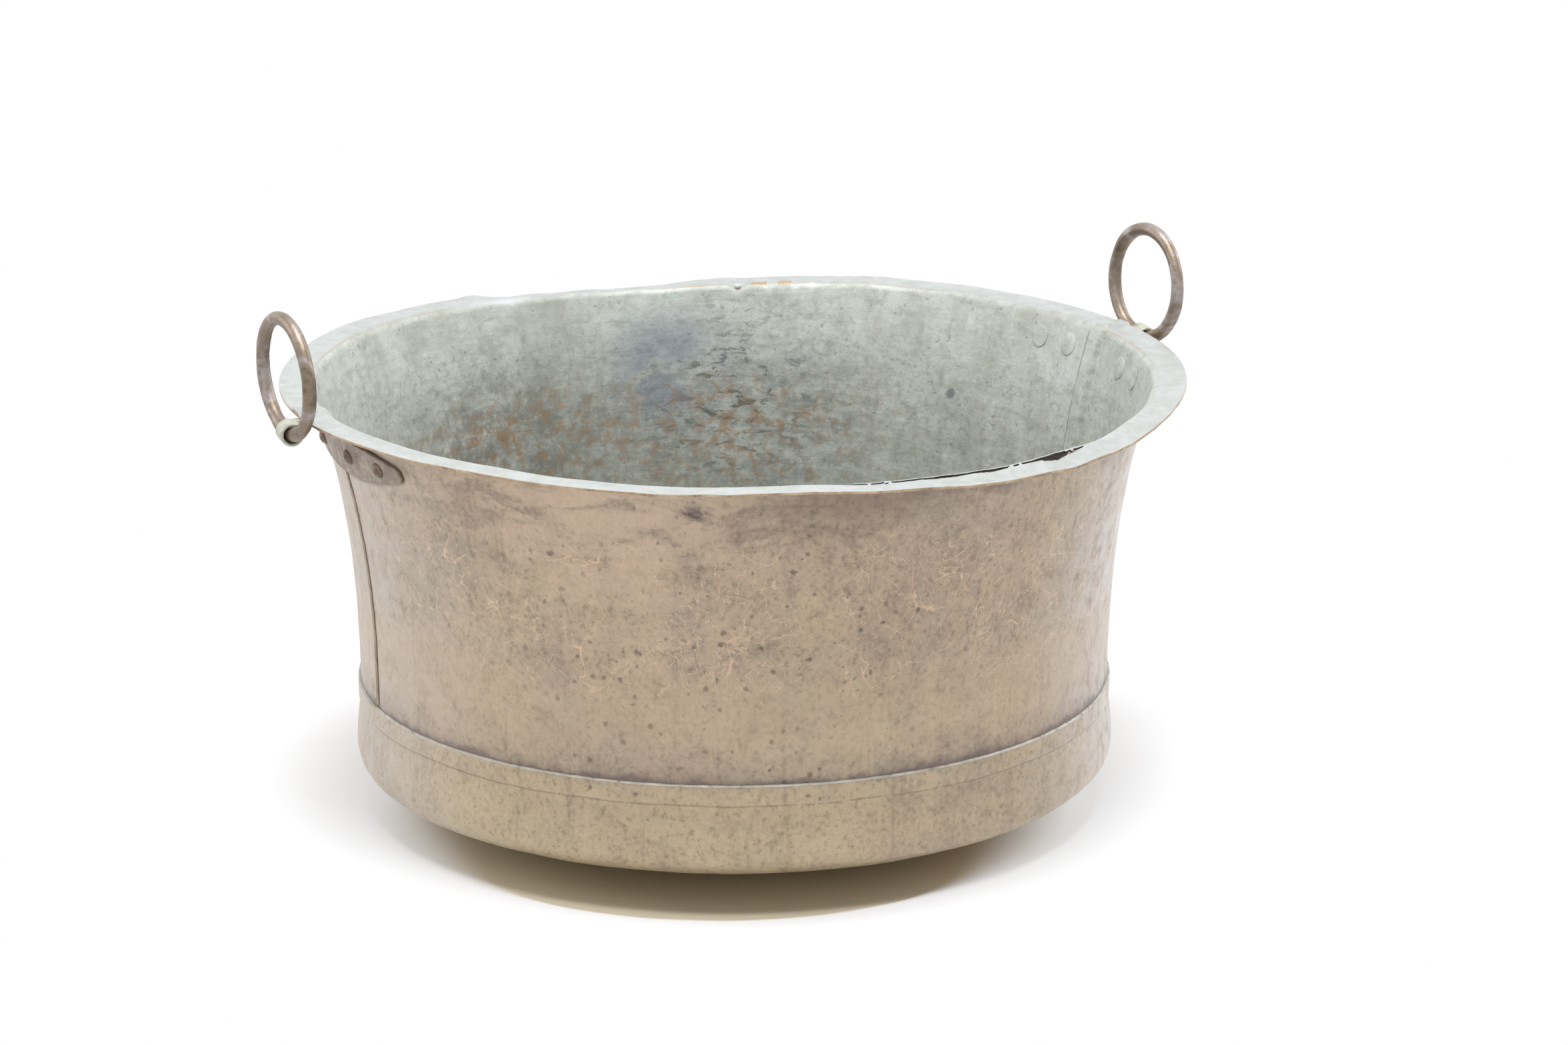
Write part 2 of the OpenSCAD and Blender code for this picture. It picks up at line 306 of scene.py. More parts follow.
column_turn = 0.444
front_start = left_seam - lap_turn
front_sweep = 360 + right_seam + lap_turn - front_start
rear_start = right_seam + groove
rear_sweep = left_seam - groove - rear_start
front_wall = spun_wall("front_wall", front_start, front_sweep, round(front_sweep / column_turn))
rear_wall = spun_wall("rear_wall", rear_start, rear_sweep, round(rear_sweep / column_turn))
walls = (front_wall, rear_wall)
for wall in walls:
    angles = [angle_of(vertex.co) for vertex in wall.data.vertices]
    print(wall.name, "spans", round(min(angles), 2), "to", round(max(angles), 2))

# %% [markdown]
# Uneven walls
#
# A hammered sheet is never quite round or level. This rim stands high at both handles, and has
# sunk at the back and at the front right. A short list gives its rise in millimetres round the tub.
# The wall, the brackets and the rivets all take the same rise, so they stay together. The fine
# dents leave out the sheet beside the brackets and in the collar, where other pieces lie on it.
# All this is pushed in while the sheet is one layer thick, so that both faces follow each other.

# %% Sway of the walls
rim_rises = [(0, 5.5), (30, 5.4), (44, 4.2), (56, 1.5), (66, -1.2), (80, -2.8), (95, -1.8), (105, 0.2),
             (114, 1.4), (132, 4.0), (155, 3.0), (180, 2.4), (196, 3.6), (204, 3.3), (214, 2.6), (226, 0.9),
             (238, -0.4), (254, 1.4), (266, -1.8), (286, -3.2), (298, -2.6), (312, 0.2), (330, 3.6),
             (345, 5.0), (360, 5.5)]
most_rise = 0.0056
sway_low_h = 0.15
sway_high_h = 0.37
bracket_reach = 18.5
bracket_fade = 10
bracket_low_h = 0.250
collar_h = 0.110
wall_dents = [("CLOUDS", 0.16, 0.0030), ("CLOUDS", 0.045, 0.0007), ("VORONOI", 0.016, 0.00018)]


def rim_rise(angle):
    """How far the rim stands above its even height at an angle, in metres."""
    for (low, low_rise), (high, high_rise) in zip(rim_rises, rim_rises[1:]):
        if angle % 360 <= high:
            return 0.001 * (low_rise + (high_rise - low_rise) * ramp(angle % 360, low, high))
    return 0


def rise(place):
    """The rise of the metal at a place. It eases off towards the foot of the wall."""
    return rim_rise(angle_of(place)) * ramp(place.z, sway_low_h, sway_high_h)


def raise_with_rim(piece):
    push(piece, "Z", most_rise, lambda place: rise(place) / most_rise)
    push(piece, "Z", -most_rise, lambda place: -rise(place) / most_rise)


def beside_brackets(place):
    """1 away from both handle brackets, 0 where their plates lie on the wall."""
    angle = angle_of(place)
    offset = min(abs(turn_between(angle, 0)), abs(turn_between(angle, 180)))
    past_ends = ramp(offset, bracket_reach, bracket_reach + bracket_fade)
    return max(past_ends, 1 - ramp(place.z, bracket_low_h, bracket_low_h + 0.050))


def free_metal(place):
    """1 where dents may lie: above the collar, away from brackets and seams."""
    angle = angle_of(place)
    seam_offset = min(abs(turn_between(angle, left_seam)), abs(turn_between(angle, right_seam)))
    above_collar = ramp(place.z, collar_h + 0.008, collar_h + 0.055)
    return above_collar * beside_brackets(place) * ramp(seam_offset, 1, 6)


for wall in walls:
    raise_with_rim(wall)
    for kind, size, depth in wall_dents:
        hammer(wall, kind, size, depth, free_metal)
rises_mm = [rise_mm for angle, rise_mm in rim_rises]
print("rim sinks by", -min(rises_mm), "and rises by", max(rises_mm), "millimetres")

# %% [markdown]
# Damage along the lip
#
# Three places make this rim its own. At the front right the sheet has cracked along the bend, and
# the lip droops outside the crack. At the back left the lip was beaten down, with folds. Right of
# these it has a notch and is rubbed rough. The crack is cut by deleting a ragged line of faces,
# which gives real edges once the sheet has its thickness. A dark painted line would look flat from
# any other side.

# %% Crack at the front right
crack_start = 258
crack_end = 297
crack_r = 0.3577
crack_low_h = 0.345
crack_half_w = 0.00042
gape_half_w = 0.0010
crack_drop = 0.0034
ridge_rise = 0.0014
droop = 0.0036
curl_rise = 0.0022
crack_angles = (crack_start, 264, 293, crack_end)
ridge_angles = (crack_start - 2, 264, 295, crack_end + 2)
droop_angles = (266, 280, 302, 320)
gapes = [(274, 2.4, 0.25), (280.5, 1.8, 0.30), (291.6, 2.6, 0.8)]
seen_start = 288
curl_up_angle = 298.8


def crack_line(angle):
    """Radius of the crack at an angle: it wanders in the bend."""
    wander = noise.noise(Vector((angle * 0.45, 3.1, 0))) + 0.5 * noise.noise(Vector((angle * 1.6, 7.7, 0)))
    return crack_r + 0.0011 * wander + 0.0012 * ramp(angle, 286, crack_end)


def gape(angle):
    """How far the crack stands open, from 0 to 1."""
    return max(bump(angle, middle, half_width) * share for middle, half_width, share in gapes)


def past_crack(place):
    """How far outside the crack a place is."""
    return radius_of(place) - crack_line(angle_of(place))


def cracked(centre):
    """Whether a face lies in the crack."""
    angle = angle_of(centre)
    if not crack_start < angle < crack_end or centre.z < crack_low_h:
        return False
    return abs(past_crack(centre)) < crack_half_w + gape_half_w * gape(angle)


def outside_crack(place):
    """1 on the strip of lip outside the crack, fading along it."""
    angle = angle_of(place)
    along = 0.16 * stretch(angle, *crack_angles) + gape(angle)
    easing = 1 - 0.5 * ramp(radius_of(place), 0.362, 0.378)
    return ramp(past_crack(place), -0.0002, 0.0006) * easing * min(1, along)


def inside_crack(place):
    """1 on the bend just inside the crack, which stands up as a thin ridge."""
    along = stretch(angle_of(place), *ridge_angles)
    return bump(past_crack(place), -0.0026, 0.0024) * along * ramp(place.z, 0.348, 0.357)


def seen_through(centre):
    """Whether a face of the bend shows through the open part of the crack."""
    angle = angle_of(centre)
    if angle < seen_start or centre.z < 0.353:
        return False
    return gape(angle) > 0.2 and -0.0066 < past_crack(centre) < 0.0014


def drooping(place):
    """1 at the edge of the lip outside the crack, which hangs lower than the bend."""
    return stretch(angle_of(place), *droop_angles) * ramp(radius_of(place), 0.357, 0.373)


def curled_up(place):
    """1 on the small fold in the lip where the crack ends."""
    return bump(angle_of(place), curl_up_angle, 1.3) * bump(radius_of(place), 0.3625, 0.0045)


select_faces(front_wall, cracked)
bpy.ops.mesh.delete(type="FACE")
bpy.ops.object.mode_set(mode="OBJECT")
push(front_wall, "Z", -crack_drop, outside_crack)
push(front_wall, "Z", ridge_rise, inside_crack)
push(front_wall, "Z", -droop, drooping)
push(front_wall, "Z", curl_rise, curled_up)
print("crack is", round(radians(crack_end - crack_start) * crack_r, 3), "long")

# %% Folds at the back
beaten_angles = (68, 81, 99, 107)
fold_angles = (72, 78, 106, 112)
beaten_depth = 0.0050
fold_rise = 0.0016


def beaten_down(place):
    """1 on the lip at the back, which was beaten down, most at its outer edge."""
    along = stretch(angle_of(place), *beaten_angles)
    return along * ramp(radius_of(place), mouth_r - 0.008, rim_r) * ramp(place.z, 0.34, 0.355)


def folds(place):
    """1 on the crests of the folds in that lip."""
    angle = angle_of(place)
    past_mouth = radius_of(place) - mouth_r
    crest = 0.5 + 0.5 * sin(radians(angle * 41) + 60 * past_mouth)
    along = stretch(angle, *fold_angles)
    return along * crest * crest * ramp(past_mouth, -0.004, 0.006) * ramp(place.z, 0.35, 0.36)


push(rear_wall, "Z", -beaten_depth, beaten_down)
push(rear_wall, "Z", fold_rise, folds)
print("lip is beaten down from", beaten_angles[0], "to", beaten_angles[-1], "degrees")

# %% Notch and scars beside the folds
notch_angle = 66
notch_depth = 0.0045
scar_depth = 0.0040
scars = [(62.8, 0.011), (59.0, 0.010), (55.6, 0.005)]
lip_waves = 0.0011


def notched(place):
    """1 in the small notch, whose metal has been bent down into the tub."""
    return bump(angle_of(place), notch_angle, 0.9) * bump(radius_of(place), 0.3565, 0.0035)


def scarred(place):
    """1 on the rough places beside the notch, where the bend is worn down to copper."""
    angle = angle_of(place)
    along = max(bump(angle, middle, degrees(reach / mouth_r)) for middle, reach in scars)
    return along * bump(radius_of(place), 0.3560, 0.0040)


def free_lip(place):
    """1 on the flat of the lip, away from the brackets."""
    return ramp(radius_of(place), mouth_r + 0.001, mouth_r + 0.009) * beside_brackets(place)


push(rear_wall, "Z", -notch_depth, notched)
hammer(rear_wall, "CLOUDS", 0.006, scar_depth, scarred, "Z")
for wall in walls:
    hammer(wall, "CLOUDS", 0.020, lip_waves, free_lip, "Z")
print("notch at", notch_angle, "degrees, with", len(scars), "scars beside it")

# %% [markdown]
# Laps and thickness
#
# Each end of the front sheet is stepped in by one thickness, so that it passes behind the rear
# sheet. Smiths call such a step a joggle. Solidify then gives both sheets their two millimetres of
# copper. It also hands out the materials: patina outside, tin inside, and bare copper on the cut
# edges. The walls of the crack, and the outer face of the bend that shows through its open part,
# are coloured dark brown and get a fourth one. A narrow bevel takes the sharpness off all edges.

# %% Laps and thickness
joggle_depth = sheet_t + solder_fit
joggle_turn = 0.5
wall_bevel = 0.0004
cut_slot = 2
dark_slot = 3


def lapped(place):
    """1 on the ends of the front sheet, behind the rear one."""
    angle = angle_of(place)
    past_left = turn_between(left_seam, angle)
    past_right = turn_between(angle, right_seam)
    if abs(past_left) < 90:
        return ramp(past_left, -joggle_turn, 0.05)
    return ramp(past_right, -joggle_turn, 0.05)


def empty_slots(piece, count):
    """Gives a piece its material slots, which stay empty until the finishes are made."""
    for number in range(count):
        piece.data.materials.append(None)


push(front_wall, "NORMAL", -joggle_depth, lapped)
for wall in walls:
    empty_slots(wall, 4)
    finish_with(wall, "SOLIDIFY", thickness=sheet_t, offset=-1, use_even_offset=True,
                material_offset=1, material_offset_rim=cut_slot)
    # The crack's walls and the bend seen through the crack take the dark brown.
    for face in wall.data.polygons:
        in_bend = face.center.z > crack_low_h - 0.005 and radius_of(face.center) < rim_r - 0.010
        if face.material_index == cut_slot and in_bend:
            face.material_index = dark_slot
        if face.material_index == 0 and seen_through(face.center):
            face.material_index = dark_slot
    bevel(wall, wall_bevel, 60)
    smooth(wall)

# %% [markdown]
# Base
#
# The base is one raised pan: a flat spot, a shallow dome, a round turn into the side, a crease, and
# a collar that laps outside the wall. It is spun like the walls, as one full turn, and the seam of
# the spin is closed by merging its doubles.

# %% Base
rest_r = 0.110
dome_r = 1.250
belly_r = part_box("base_pan")[1].x
knuckle_r = 0.021
collar_r = neck_r + solder_fit + sheet_t
crease_r = collar_r - 0.00135
collar_low_h = collar_h - 0.014
crease_h = collar_low_h - 0.0035
base_columns = 480
dome_rows = 24
knuckle_rows = 10
side_rows = 13
base_bevel = 0.0005
base_dents = [("CLOUDS", 0.09, 0.0022), ("CLOUDS", 0.030, 0.0006), ("VORONOI", 0.016, 0.00018)]
knuckle_centre_r = belly_r - knuckle_r
knuckle_start = asin(knuckle_centre_r / (dome_r - knuckle_r))
dome_start = asin(rest_r / dome_r)
knuckle_h = dome_r * cos(dome_start) - (dome_r - knuckle_r) * cos(knuckle_start)


def base_profile():
    """Radius and height of the base's outer face, from its middle to the collar's top edge."""
    rows = [(0, 0), (0.03, 0), (0.07, 0)]
    for i in range(dome_rows + 1):
        a = dome_start + (knuckle_start - dome_start) * i / dome_rows
        rows.append((dome_r * sin(a), dome_r * (cos(dome_start) - cos(a))))
    for i in range(1, knuckle_rows + 1):
        a = knuckle_start + (pi / 2 - knuckle_start) * i / knuckle_rows
        rows.append((knuckle_centre_r + knuckle_r * sin(a), knuckle_h - knuckle_r * cos(a)))
    for i in range(1, side_rows + 1):
        share = i / side_rows
        rows.append((belly_r - (belly_r - crease_r) * share ** 2, knuckle_h + (crease_h - knuckle_h) * share))
    rows += [((crease_r + collar_r) / 2 + 0.0001, crease_h + 0.0019), (collar_r, collar_low_h)]
    return rows + [(collar_r, collar_low_h + 0.0035 * i) for i in range(1, 5)]


base = draw_profile("base", [on_wall(0, r, h) for r, h in base_profile()])
spin_round(base, 360, base_columns)
face_out(base)


def free_base(place):
    """1 where the base may be uneven: neither where it stands nor where it holds the wall."""
    below_crease = 1 - ramp(place.z, crease_h - 0.0125, crease_h - 0.0035)
    return ramp(radius_of(place), rest_r + 0.01, rest_r + 0.05) * below_crease


for kind, size, depth in base_dents:
    hammer(base, kind, size, depth, free_base)
empty_slots(base, 3)
finish_with(base, "SOLIDIFY", thickness=sheet_t, offset=-1, use_even_offset=True,
            material_offset=1, material_offset_rim=cut_slot)
bevel(base, base_bevel, 60)
smooth(base)

# %% [markdown]
# Solder
#
# Solder fills the corner on top of the collar, and lies as a thin bead along each wall seam, outside
# and inside. A bead starts as a narrow strip of the wall's own surface, spun through a degree or
# less. It is thickened away from the wall, and then made uneven, because solder runs and freezes
# as it likes. A plain tube along the seam would be quicker, but would look like a wire.

# %% Seam beads
bead_h = 0.0007
bead_turn = degrees(0.0055 / neck_r)
inside_turn = degrees(0.003 / neck_r)
bead_rows = 90
bead_columns = 8
bead_bevel = 0.0003
left_plate_h = 0.335
right_plate_h = 0.3415
plate_half_h = 0.017


def bead(name, start, turn, low, high, depth):
    """A strip of solder along the wall, with its underside at a depth below the outer face."""
    places = []
    for i in range(bead_rows + 1):
        h = low + (high - low) * i / bead_rows
        lean = wall_lean(h)
        places.append(on_wall(start, wall_radius(h) - depth * cos(lean), h + depth * sin(lean)))
    strip = draw_profile(name, places)
    spin_round(strip, turn, bead_columns)
    face_out(strip)
    return strip


def mark_inside(piece, slot):
    """Gives a slot to the faces that lie inside the tub, and the first one to all others."""
    for face in piece.data.polygons:
        inside = radius_of(face.center) < wall_radius(face.center.z) - sheet_t / 2
        face.material_index = slot if inside else 0


def seam_solder(name, seam, lap_side, plate_h):
    """Both beads of one seam as one piece."""
    bead_start = seam - bead_turn / 2 - lap_side * joggle_turn / 2
    outside = bead(name, bead_start, bead_turn, collar_h + 2 * sheet_t, plate_h - plate_half_h - sheet_t,
                   -solder_fit)
    lap_edge = seam + lap_side * (lap_turn + groove)
    inside = bead(name + "_inside", min(lap_edge, lap_edge + lap_side * inside_turn), inside_turn,
                  wall_low_h, turn_start_h, sheet_t + solder_fit)
    for strip, offset in ((outside, 1), (inside, -1)):
        finish_with(strip, "SOLIDIFY", thickness=bead_h, offset=offset, use_even_offset=True)
        bevel(strip, bead_bevel, 50)
        hammer(strip, "CLOUDS", 0.009, 0.0022, lambda place: 1, "Y")
    use(outside)
    inside.select_set(True)
    bpy.ops.object.join()
    empty_slots(outside, 2)
    mark_inside(outside, 1)
    raise_with_rim(outside)
    smooth(outside, 60)
    return outside


left_solder = seam_solder("left_solder", left_seam, -1, left_plate_h)
right_solder = seam_solder("right_solder", right_seam, 1, right_plate_h)

# %% Fillet of solder on the collar
fillet_low = collar_h + solder_fit
fillet_in = neck_r + solder_fit
fillet_rows = [(collar_r, fillet_low), (collar_r - 0.0003, fillet_low + 0.0004),
               (collar_r - 0.0011, fillet_low + 0.0008), (fillet_in + 0.0003, fillet_low + 0.0014),
               (fillet_in, fillet_low + 0.0014), (fillet_in, fillet_low)]
collar_solder = draw_profile("collar_solder", [on_wall(0, r, h) for r, h in fillet_rows + fillet_rows[:1]])
spin_round(collar_solder, 360, base_columns)
hammer(collar_solder, "CLOUDS", 0.007, 0.0008,
       lambda place: ramp(place.z, fillet_low + 0.0003, fillet_low + 0.0013), "Z")
smooth(collar_solder, 50)

# %% [markdown]
# Handle brackets
#
# Each ring hangs in a forged bracket: a leaf-shaped plate riveted to the wall, with a strap that
# runs out under the lip and is curled round the ring's bar. The leaf starts as a flat grid, whose
# rows are drawn together towards the tips. Shrinkwrap lays it on the wall, and Solidify gives it
# its thickness. The strap is one edge extruded along its path. A voxel remesh welds the two, which
# leaves the soft inner corners that a hammer leaves.

# %% Wall form to lay things on
form = draw_profile("form", [on_wall(-30, r, h) for r, h in wall_profile()])
spin_round(form, 60, 120)
face_out(form)

# %% Handle brackets
plate_t = 0.003
plate_fit = 0.00015
plate_columns = 150
plate_rows = 14
plate_half_l = 0.104
leaf_tip_r = 0.007
leaf_tip_y = plate_half_l - leaf_tip_r
leaf_edge_r = (leaf_tip_y ** 2 + plate_half_h ** 2 - leaf_tip_r ** 2) / (2 * (plate_half_h - leaf_tip_r))
leaf_tip_start = leaf_tip_y * leaf_edge_r / (leaf_edge_r - leaf_tip_r)
strap_w = 0.020
strap_strips = 8
wall_steps = 5
curl_steps = 40
eye_r = 0.007
curl_t = 0.0025
curl_angle = 305
bracket_voxel = 0.0007
left_eye = Vector((rim_r + 0.0095, 0, rim_h - 0.009))
right_eye = Vector((rim_r + 0.0105, 0, rim_h - 0.004))
left_twist = 5.2
right_twist = 6.3


def leaf_half_height(y):
    """Half the leaf's height at a distance from its middle."""
    if abs(y) < leaf_tip_start:
        return sqrt(leaf_edge_r ** 2 - y * y) - (leaf_edge_r - plate_half_h)
    return sqrt(max(0, leaf_tip_r ** 2 - (abs(y) - leaf_tip_y) ** 2))


def leaf_plate(plate_h):
    """A flat grid drawn into a leaf, laid on the wall and thickened."""
    bpy.ops.mesh.primitive_grid_add(x_subdivisions=plate_columns, y_subdivisions=plate_rows, size=1,
                                    location=(rim_r + 0.02, 0, plate_h), rotation=(pi / 2, 0, pi / 2))
    plate = bpy.context.object
    plate.name = "leaf"
    plate.scale = (2 * plate_half_l, 2 * plate_half_h, 1)
    bpy.ops.object.transform_apply(location=True, rotation=True, scale=True)

    def past_edge(place, side):
        height_share = side * (place.z - plate_h) / plate_half_h
        return max(0, height_share) * (1 - leaf_half_height(place.y) / plate_half_h)

    push(plate, "Z", -plate_half_h, lambda place: past_edge(place, 1))
    push(plate, "Z", plate_half_h, lambda place: past_edge(place, -1))
    finish_with(plate, "SHRINKWRAP", target=form, wrap_method="PROJECT", wrap_mode="ABOVE_SURFACE",
                use_project_x=True, use_project_z=False, use_negative_direction=True,
                use_positive_direction=False, offset=plate_fit)
    finish_with(plate, "SOLIDIFY", thickness=plate_t, offset=1, use_even_offset=True)
    return plate


def strap_path(eye, plate_h, lip_rise):
    """Radius and height along the strap: up the wall, out under the raised lip, round the eye."""
    half_t = curl_t / 2
    offset = plate_fit + half_t
    reach = lip_turn_r - offset
    along_wall = []
    for i in range(wall_steps + 1):
        h = plate_h - 0.008 + (turn_start_h - plate_h + 0.006) * i / wall_steps
        along_wall.append((wall_radius(h) + offset * cos(wall_lean(h)), h - offset * sin(wall_lean(h))))
    for i in range(1, wall_steps + 1):
        lean = turn_lean + (pi / 2 - turn_lean) * i / wall_steps
        along_wall.append((turn_centre_r - reach * cos(lean), turn_centre_h + reach * sin(lean)))
    along_wall.append((rim_r - 0.006, lip_under_h - offset))
    path = [(r, h + lip_rise * ramp(h, sway_low_h, sway_high_h)) for r, h in along_wall]
    curl_r = eye_r + half_t
    start = pi - asin(min(1, (path[-1][1] - eye.z) / curl_r))
    for i in range(curl_steps + 1):
        a = start - radians(curl_angle) * i / curl_steps
        path.append((eye.x + curl_r * cos(a), eye.z + curl_r * sin(a)))
    return path


def strap_and_curl(eye, twist, plate_h, lip_rise):
    """One edge extruded along the strap's path, then widened, twisted at the eye and thickened."""
    path = strap_path(eye, plate_h, lip_rise)
    strap = draw_profile("strap", [Vector((r, -strap_w / 2, h)) for r, h in path])
    bpy.ops.mesh.select_all(action="SELECT")
    for i in range(strap_strips):
        bpy.ops.mesh.extrude_region_move(TRANSFORM_OT_translate={"value": (0, strap_w / strap_strips, 0)})
    bpy.ops.object.mode_set(mode="OBJECT")
    select_faces(strap, lambda centre: hypot(centre.x - eye.x, centre.z - eye.z) < eye_r + curl_t)
    bpy.ops.transform.rotate(value=radians(twist), orient_axis="Z", center_override=eye)
    bpy.ops.object.mode_set(mode="OBJECT")
    finish_with(strap, "SOLIDIFY", thickness=curl_t, offset=0, use_even_offset=True)
    return strap


def eye_bracket(name, handle_angle, eye, twist, plate_h):
    """A whole bracket: plate and strap are welded by a voxel remesh, and then hammered."""
    bracket = leaf_plate(plate_h)
    strap = strap_and_curl(eye, twist, plate_h, rim_rise(handle_angle))
    for part in (strap, bracket):
        use(part)
        part.rotation_euler = (0, 0, radians(handle_angle))
        bpy.ops.object.transform_apply(location=True, rotation=True, scale=True)
    raise_with_rim(bracket)
    use(bracket)
    strap.select_set(True)
    bpy.ops.object.join()
    bracket.name = name
    finish_with(bracket, "REMESH", mode="VOXEL", voxel_size=bracket_voxel)
    finish_with(bracket, "SMOOTH", factor=0.5, iterations=3)
    turned_eye = Matrix.Rotation(radians(handle_angle), 3, "Z") @ eye

    def off_the_bore(place):
        return ramp(hypot(place.x - turned_eye.x, place.z - turned_eye.z), eye_r + 0.0006, eye_r + 0.0018)

    hammer(bracket, "CLOUDS", 0.012, 0.0005, off_the_bore)
    empty_slots(bracket, 2)
    for face in bracket.data.polygons:
        face.material_index = 1 if radius_of(face.center) > rim_r - 0.003 else 0
    smooth(bracket, 60)
    return bracket


right_bracket = eye_bracket("right_eye_bracket", 0, right_eye, right_twist, right_plate_h)
left_bracket = eye_bracket("left_eye_bracket", 180, left_eye, left_twist, left_plate_h)
bpy.data.objects.remove(form)

# %% [markdown]
# Rivets
#
# Four rivets hold each bracket. A rivet is spun from its profile: a low domed head outside, the
# shank, and a flat hammered head inside. One is modelled and beaten a little out of true, and the
# others are copies that are turned about their own axis, so that no two look quite alike.

# %% Rivets
head_out = plate_fit + plate_t + 0.0002
head_in = sheet_t + 0.0002
dome_head_r = 0.00675
dome_head_h = 0.0036
flat_head_r = 0.010
flat_head_h = 0.0007
shank_r = 0.004
head_rows = 8
rivet_columns = 40
rivet_bevel = 0.0003
right_rivets_at = (-0.088, -0.048, 0.048, 0.088)
left_rivets_at = (-0.088, -0.048, 0.022, 0.074)
dome_curve = (dome_head_r ** 2 + dome_head_h ** 2) / (2 * dome_head_h)
dome_reach = asin(dome_head_r / dome_curve)


def rivet_profile():
    """Distance from the rivet's axis and height along it, from the inner head to the outer one."""
    low = -head_in - flat_head_h
    rows = [(0, low), (flat_head_r * 0.5, low), (flat_head_r - 0.0016, low + 0.0001),
            (flat_head_r - 0.0006, low + 0.0003), (flat_head_r, -head_in - 0.0002), (flat_head_r, -head_in),
            (shank_r, -head_in), (shank_r, head_out), (dome_head_r * 0.96, head_out)]
    for i in range(head_rows + 1):
        a = dome_reach * (1 - i / head_rows)
        rows.append((dome_curve * sin(a), head_out + dome_head_h - dome_curve * (1 - cos(a))))
    return rows


rivet = draw_profile("rivet", [Vector((r, 0, h)) for r, h in rivet_profile()])
spin_round(rivet, 360, rivet_columns)
bevel(rivet, rivet_bevel, 50)
hammer(rivet, "VORONOI", 0.004, 0.0004, lambda place: ramp(abs(place.z), 0.003, 0.0045), "Z")


def set_rivets(name, handle_angle, distances, plate_h):
    """Four rivets in one bracket, joined as one piece. Their inner heads get the second slot."""
    copies = []
    wall_r = wall_radius(plate_h)
    out = Matrix.Rotation(pi / 2 + wall_lean(plate_h), 4, "Y")
    place = Matrix.Translation((wall_r, 0, plate_h))
    for number, distance in enumerate(distances):
        made = rivet.copy()
        made.data = rivet.data.copy()
        bpy.context.collection.objects.link(made)
        angle = radians(handle_angle) + distance / wall_r
        own_turn = Matrix.Rotation(radians(70 * number + handle_angle), 4, "Z")
        made.matrix_world = Matrix.Rotation(angle, 4, "Z") @ place @ out @ own_turn
        copies.append(made)
    bpy.ops.object.select_all(action="DESELECT")
    for made in copies:
        made.select_set(True)
    bpy.context.view_layer.objects.active = copies[0]
    bpy.ops.object.transform_apply(location=True, rotation=True, scale=True)
    bpy.ops.object.join()
    joined = bpy.context.object
    joined.name = name
    empty_slots(joined, 1)
    mark_inside(joined, 1)
    raise_with_rim(joined)
    smooth(joined, 50)
    return joined


empty_slots(rivet, 1)
right_rivets = set_rivets("right_rivets", 0, right_rivets_at, right_plate_h)
left_rivets = set_rivets("left_rivets", 180, left_rivets_at, left_plate_h)
bpy.data.objects.remove(rivet)

# %% [markdown]
# Rings
#
# A ring handle is a bar bent round and welded. It starts as a torus through the eye, leaning and
# turned a little as old handles stand. It is then beaten: the bar swells and thins, and a scarf weld
# leaves one thicker place. Inside the eye it stays true, so that it can turn. A curve with a bevel
# would give the same tube, but a mesh takes the hammering directly.

# %% Rings
ring_r = 0.0473
bar_r = 0.006
ring_steps = 200
bar_steps = 32
weld_swell = 0.0005
left_lean = 1.9
right_lean = 2.6
ring_sink = (ring_r - sqrt(ring_r ** 2 - (strap_w / 2) ** 2)) / 2


def forged_ring(name, handle_angle, eye, twist, lean, weld_angle):
    """A ring that stands in its eye. The weld's angle is measured round the ring from its top."""
    bpy.ops.mesh.primitive_torus_add(major_radius=ring_r, minor_radius=bar_r,
                                     major_segments=ring_steps, minor_segments=bar_steps)
    ring = bpy.context.object
    ring.name = name
    weld = Vector((-ring_r * cos(radians(weld_angle)), ring_r * sin(radians(weld_angle)), 0))
    eye_end = Vector((ring_r, 0, 0))

    def clear_of_eye(place):
        return ramp((place - eye_end).length, 0.016, 0.030)

    def beside_weld(place):
        return bump((place - weld).length, 0, 0.012) * clear_of_eye(place)

    push(ring, "NORMAL", -weld_swell, clear_of_eye)
    hammer(ring, "CLOUDS", 0.035, 0.0011, clear_of_eye)
    hammer(ring, "CLOUDS", 0.009, 0.0003, clear_of_eye)
    push(ring, "NORMAL", weld_swell, beside_weld)
    upright = Matrix.Rotation(pi / 2, 4, "Y")
    lift = Matrix.Translation((0, 0, ring_r - ring_sink))
    ring.matrix_world = (Matrix.Rotation(radians(handle_angle), 4, "Z") @ Matrix.Translation(eye)
                         @ Matrix.Rotation(radians(twist), 4, "Z") @ Matrix.Rotation(radians(lean), 4, "Y")
                         @ lift @ upright)
    use(ring)
    bpy.ops.object.transform_apply(location=True, rotation=True, scale=True)
    smooth(ring, 60)
    return ring


right_ring = forged_ring("right_ring_handle", 0, right_eye, right_twist, right_lean, 40)
left_ring = forged_ring("left_ring_handle", 180, left_eye, left_twist, left_lean, -60)

# %% [markdown]
# Finishes
#
# Old copper is brown outside and tinned inside. Both finishes are built from noise on the Object
# coordinates, so they keep their scale in real millimetres and have no seams. Shader maths is
# written as ordinary sums: a small class wraps one socket, and each sign adds a Math node.
# Painting an image would allow the same marks, but could not be read or changed as easily.

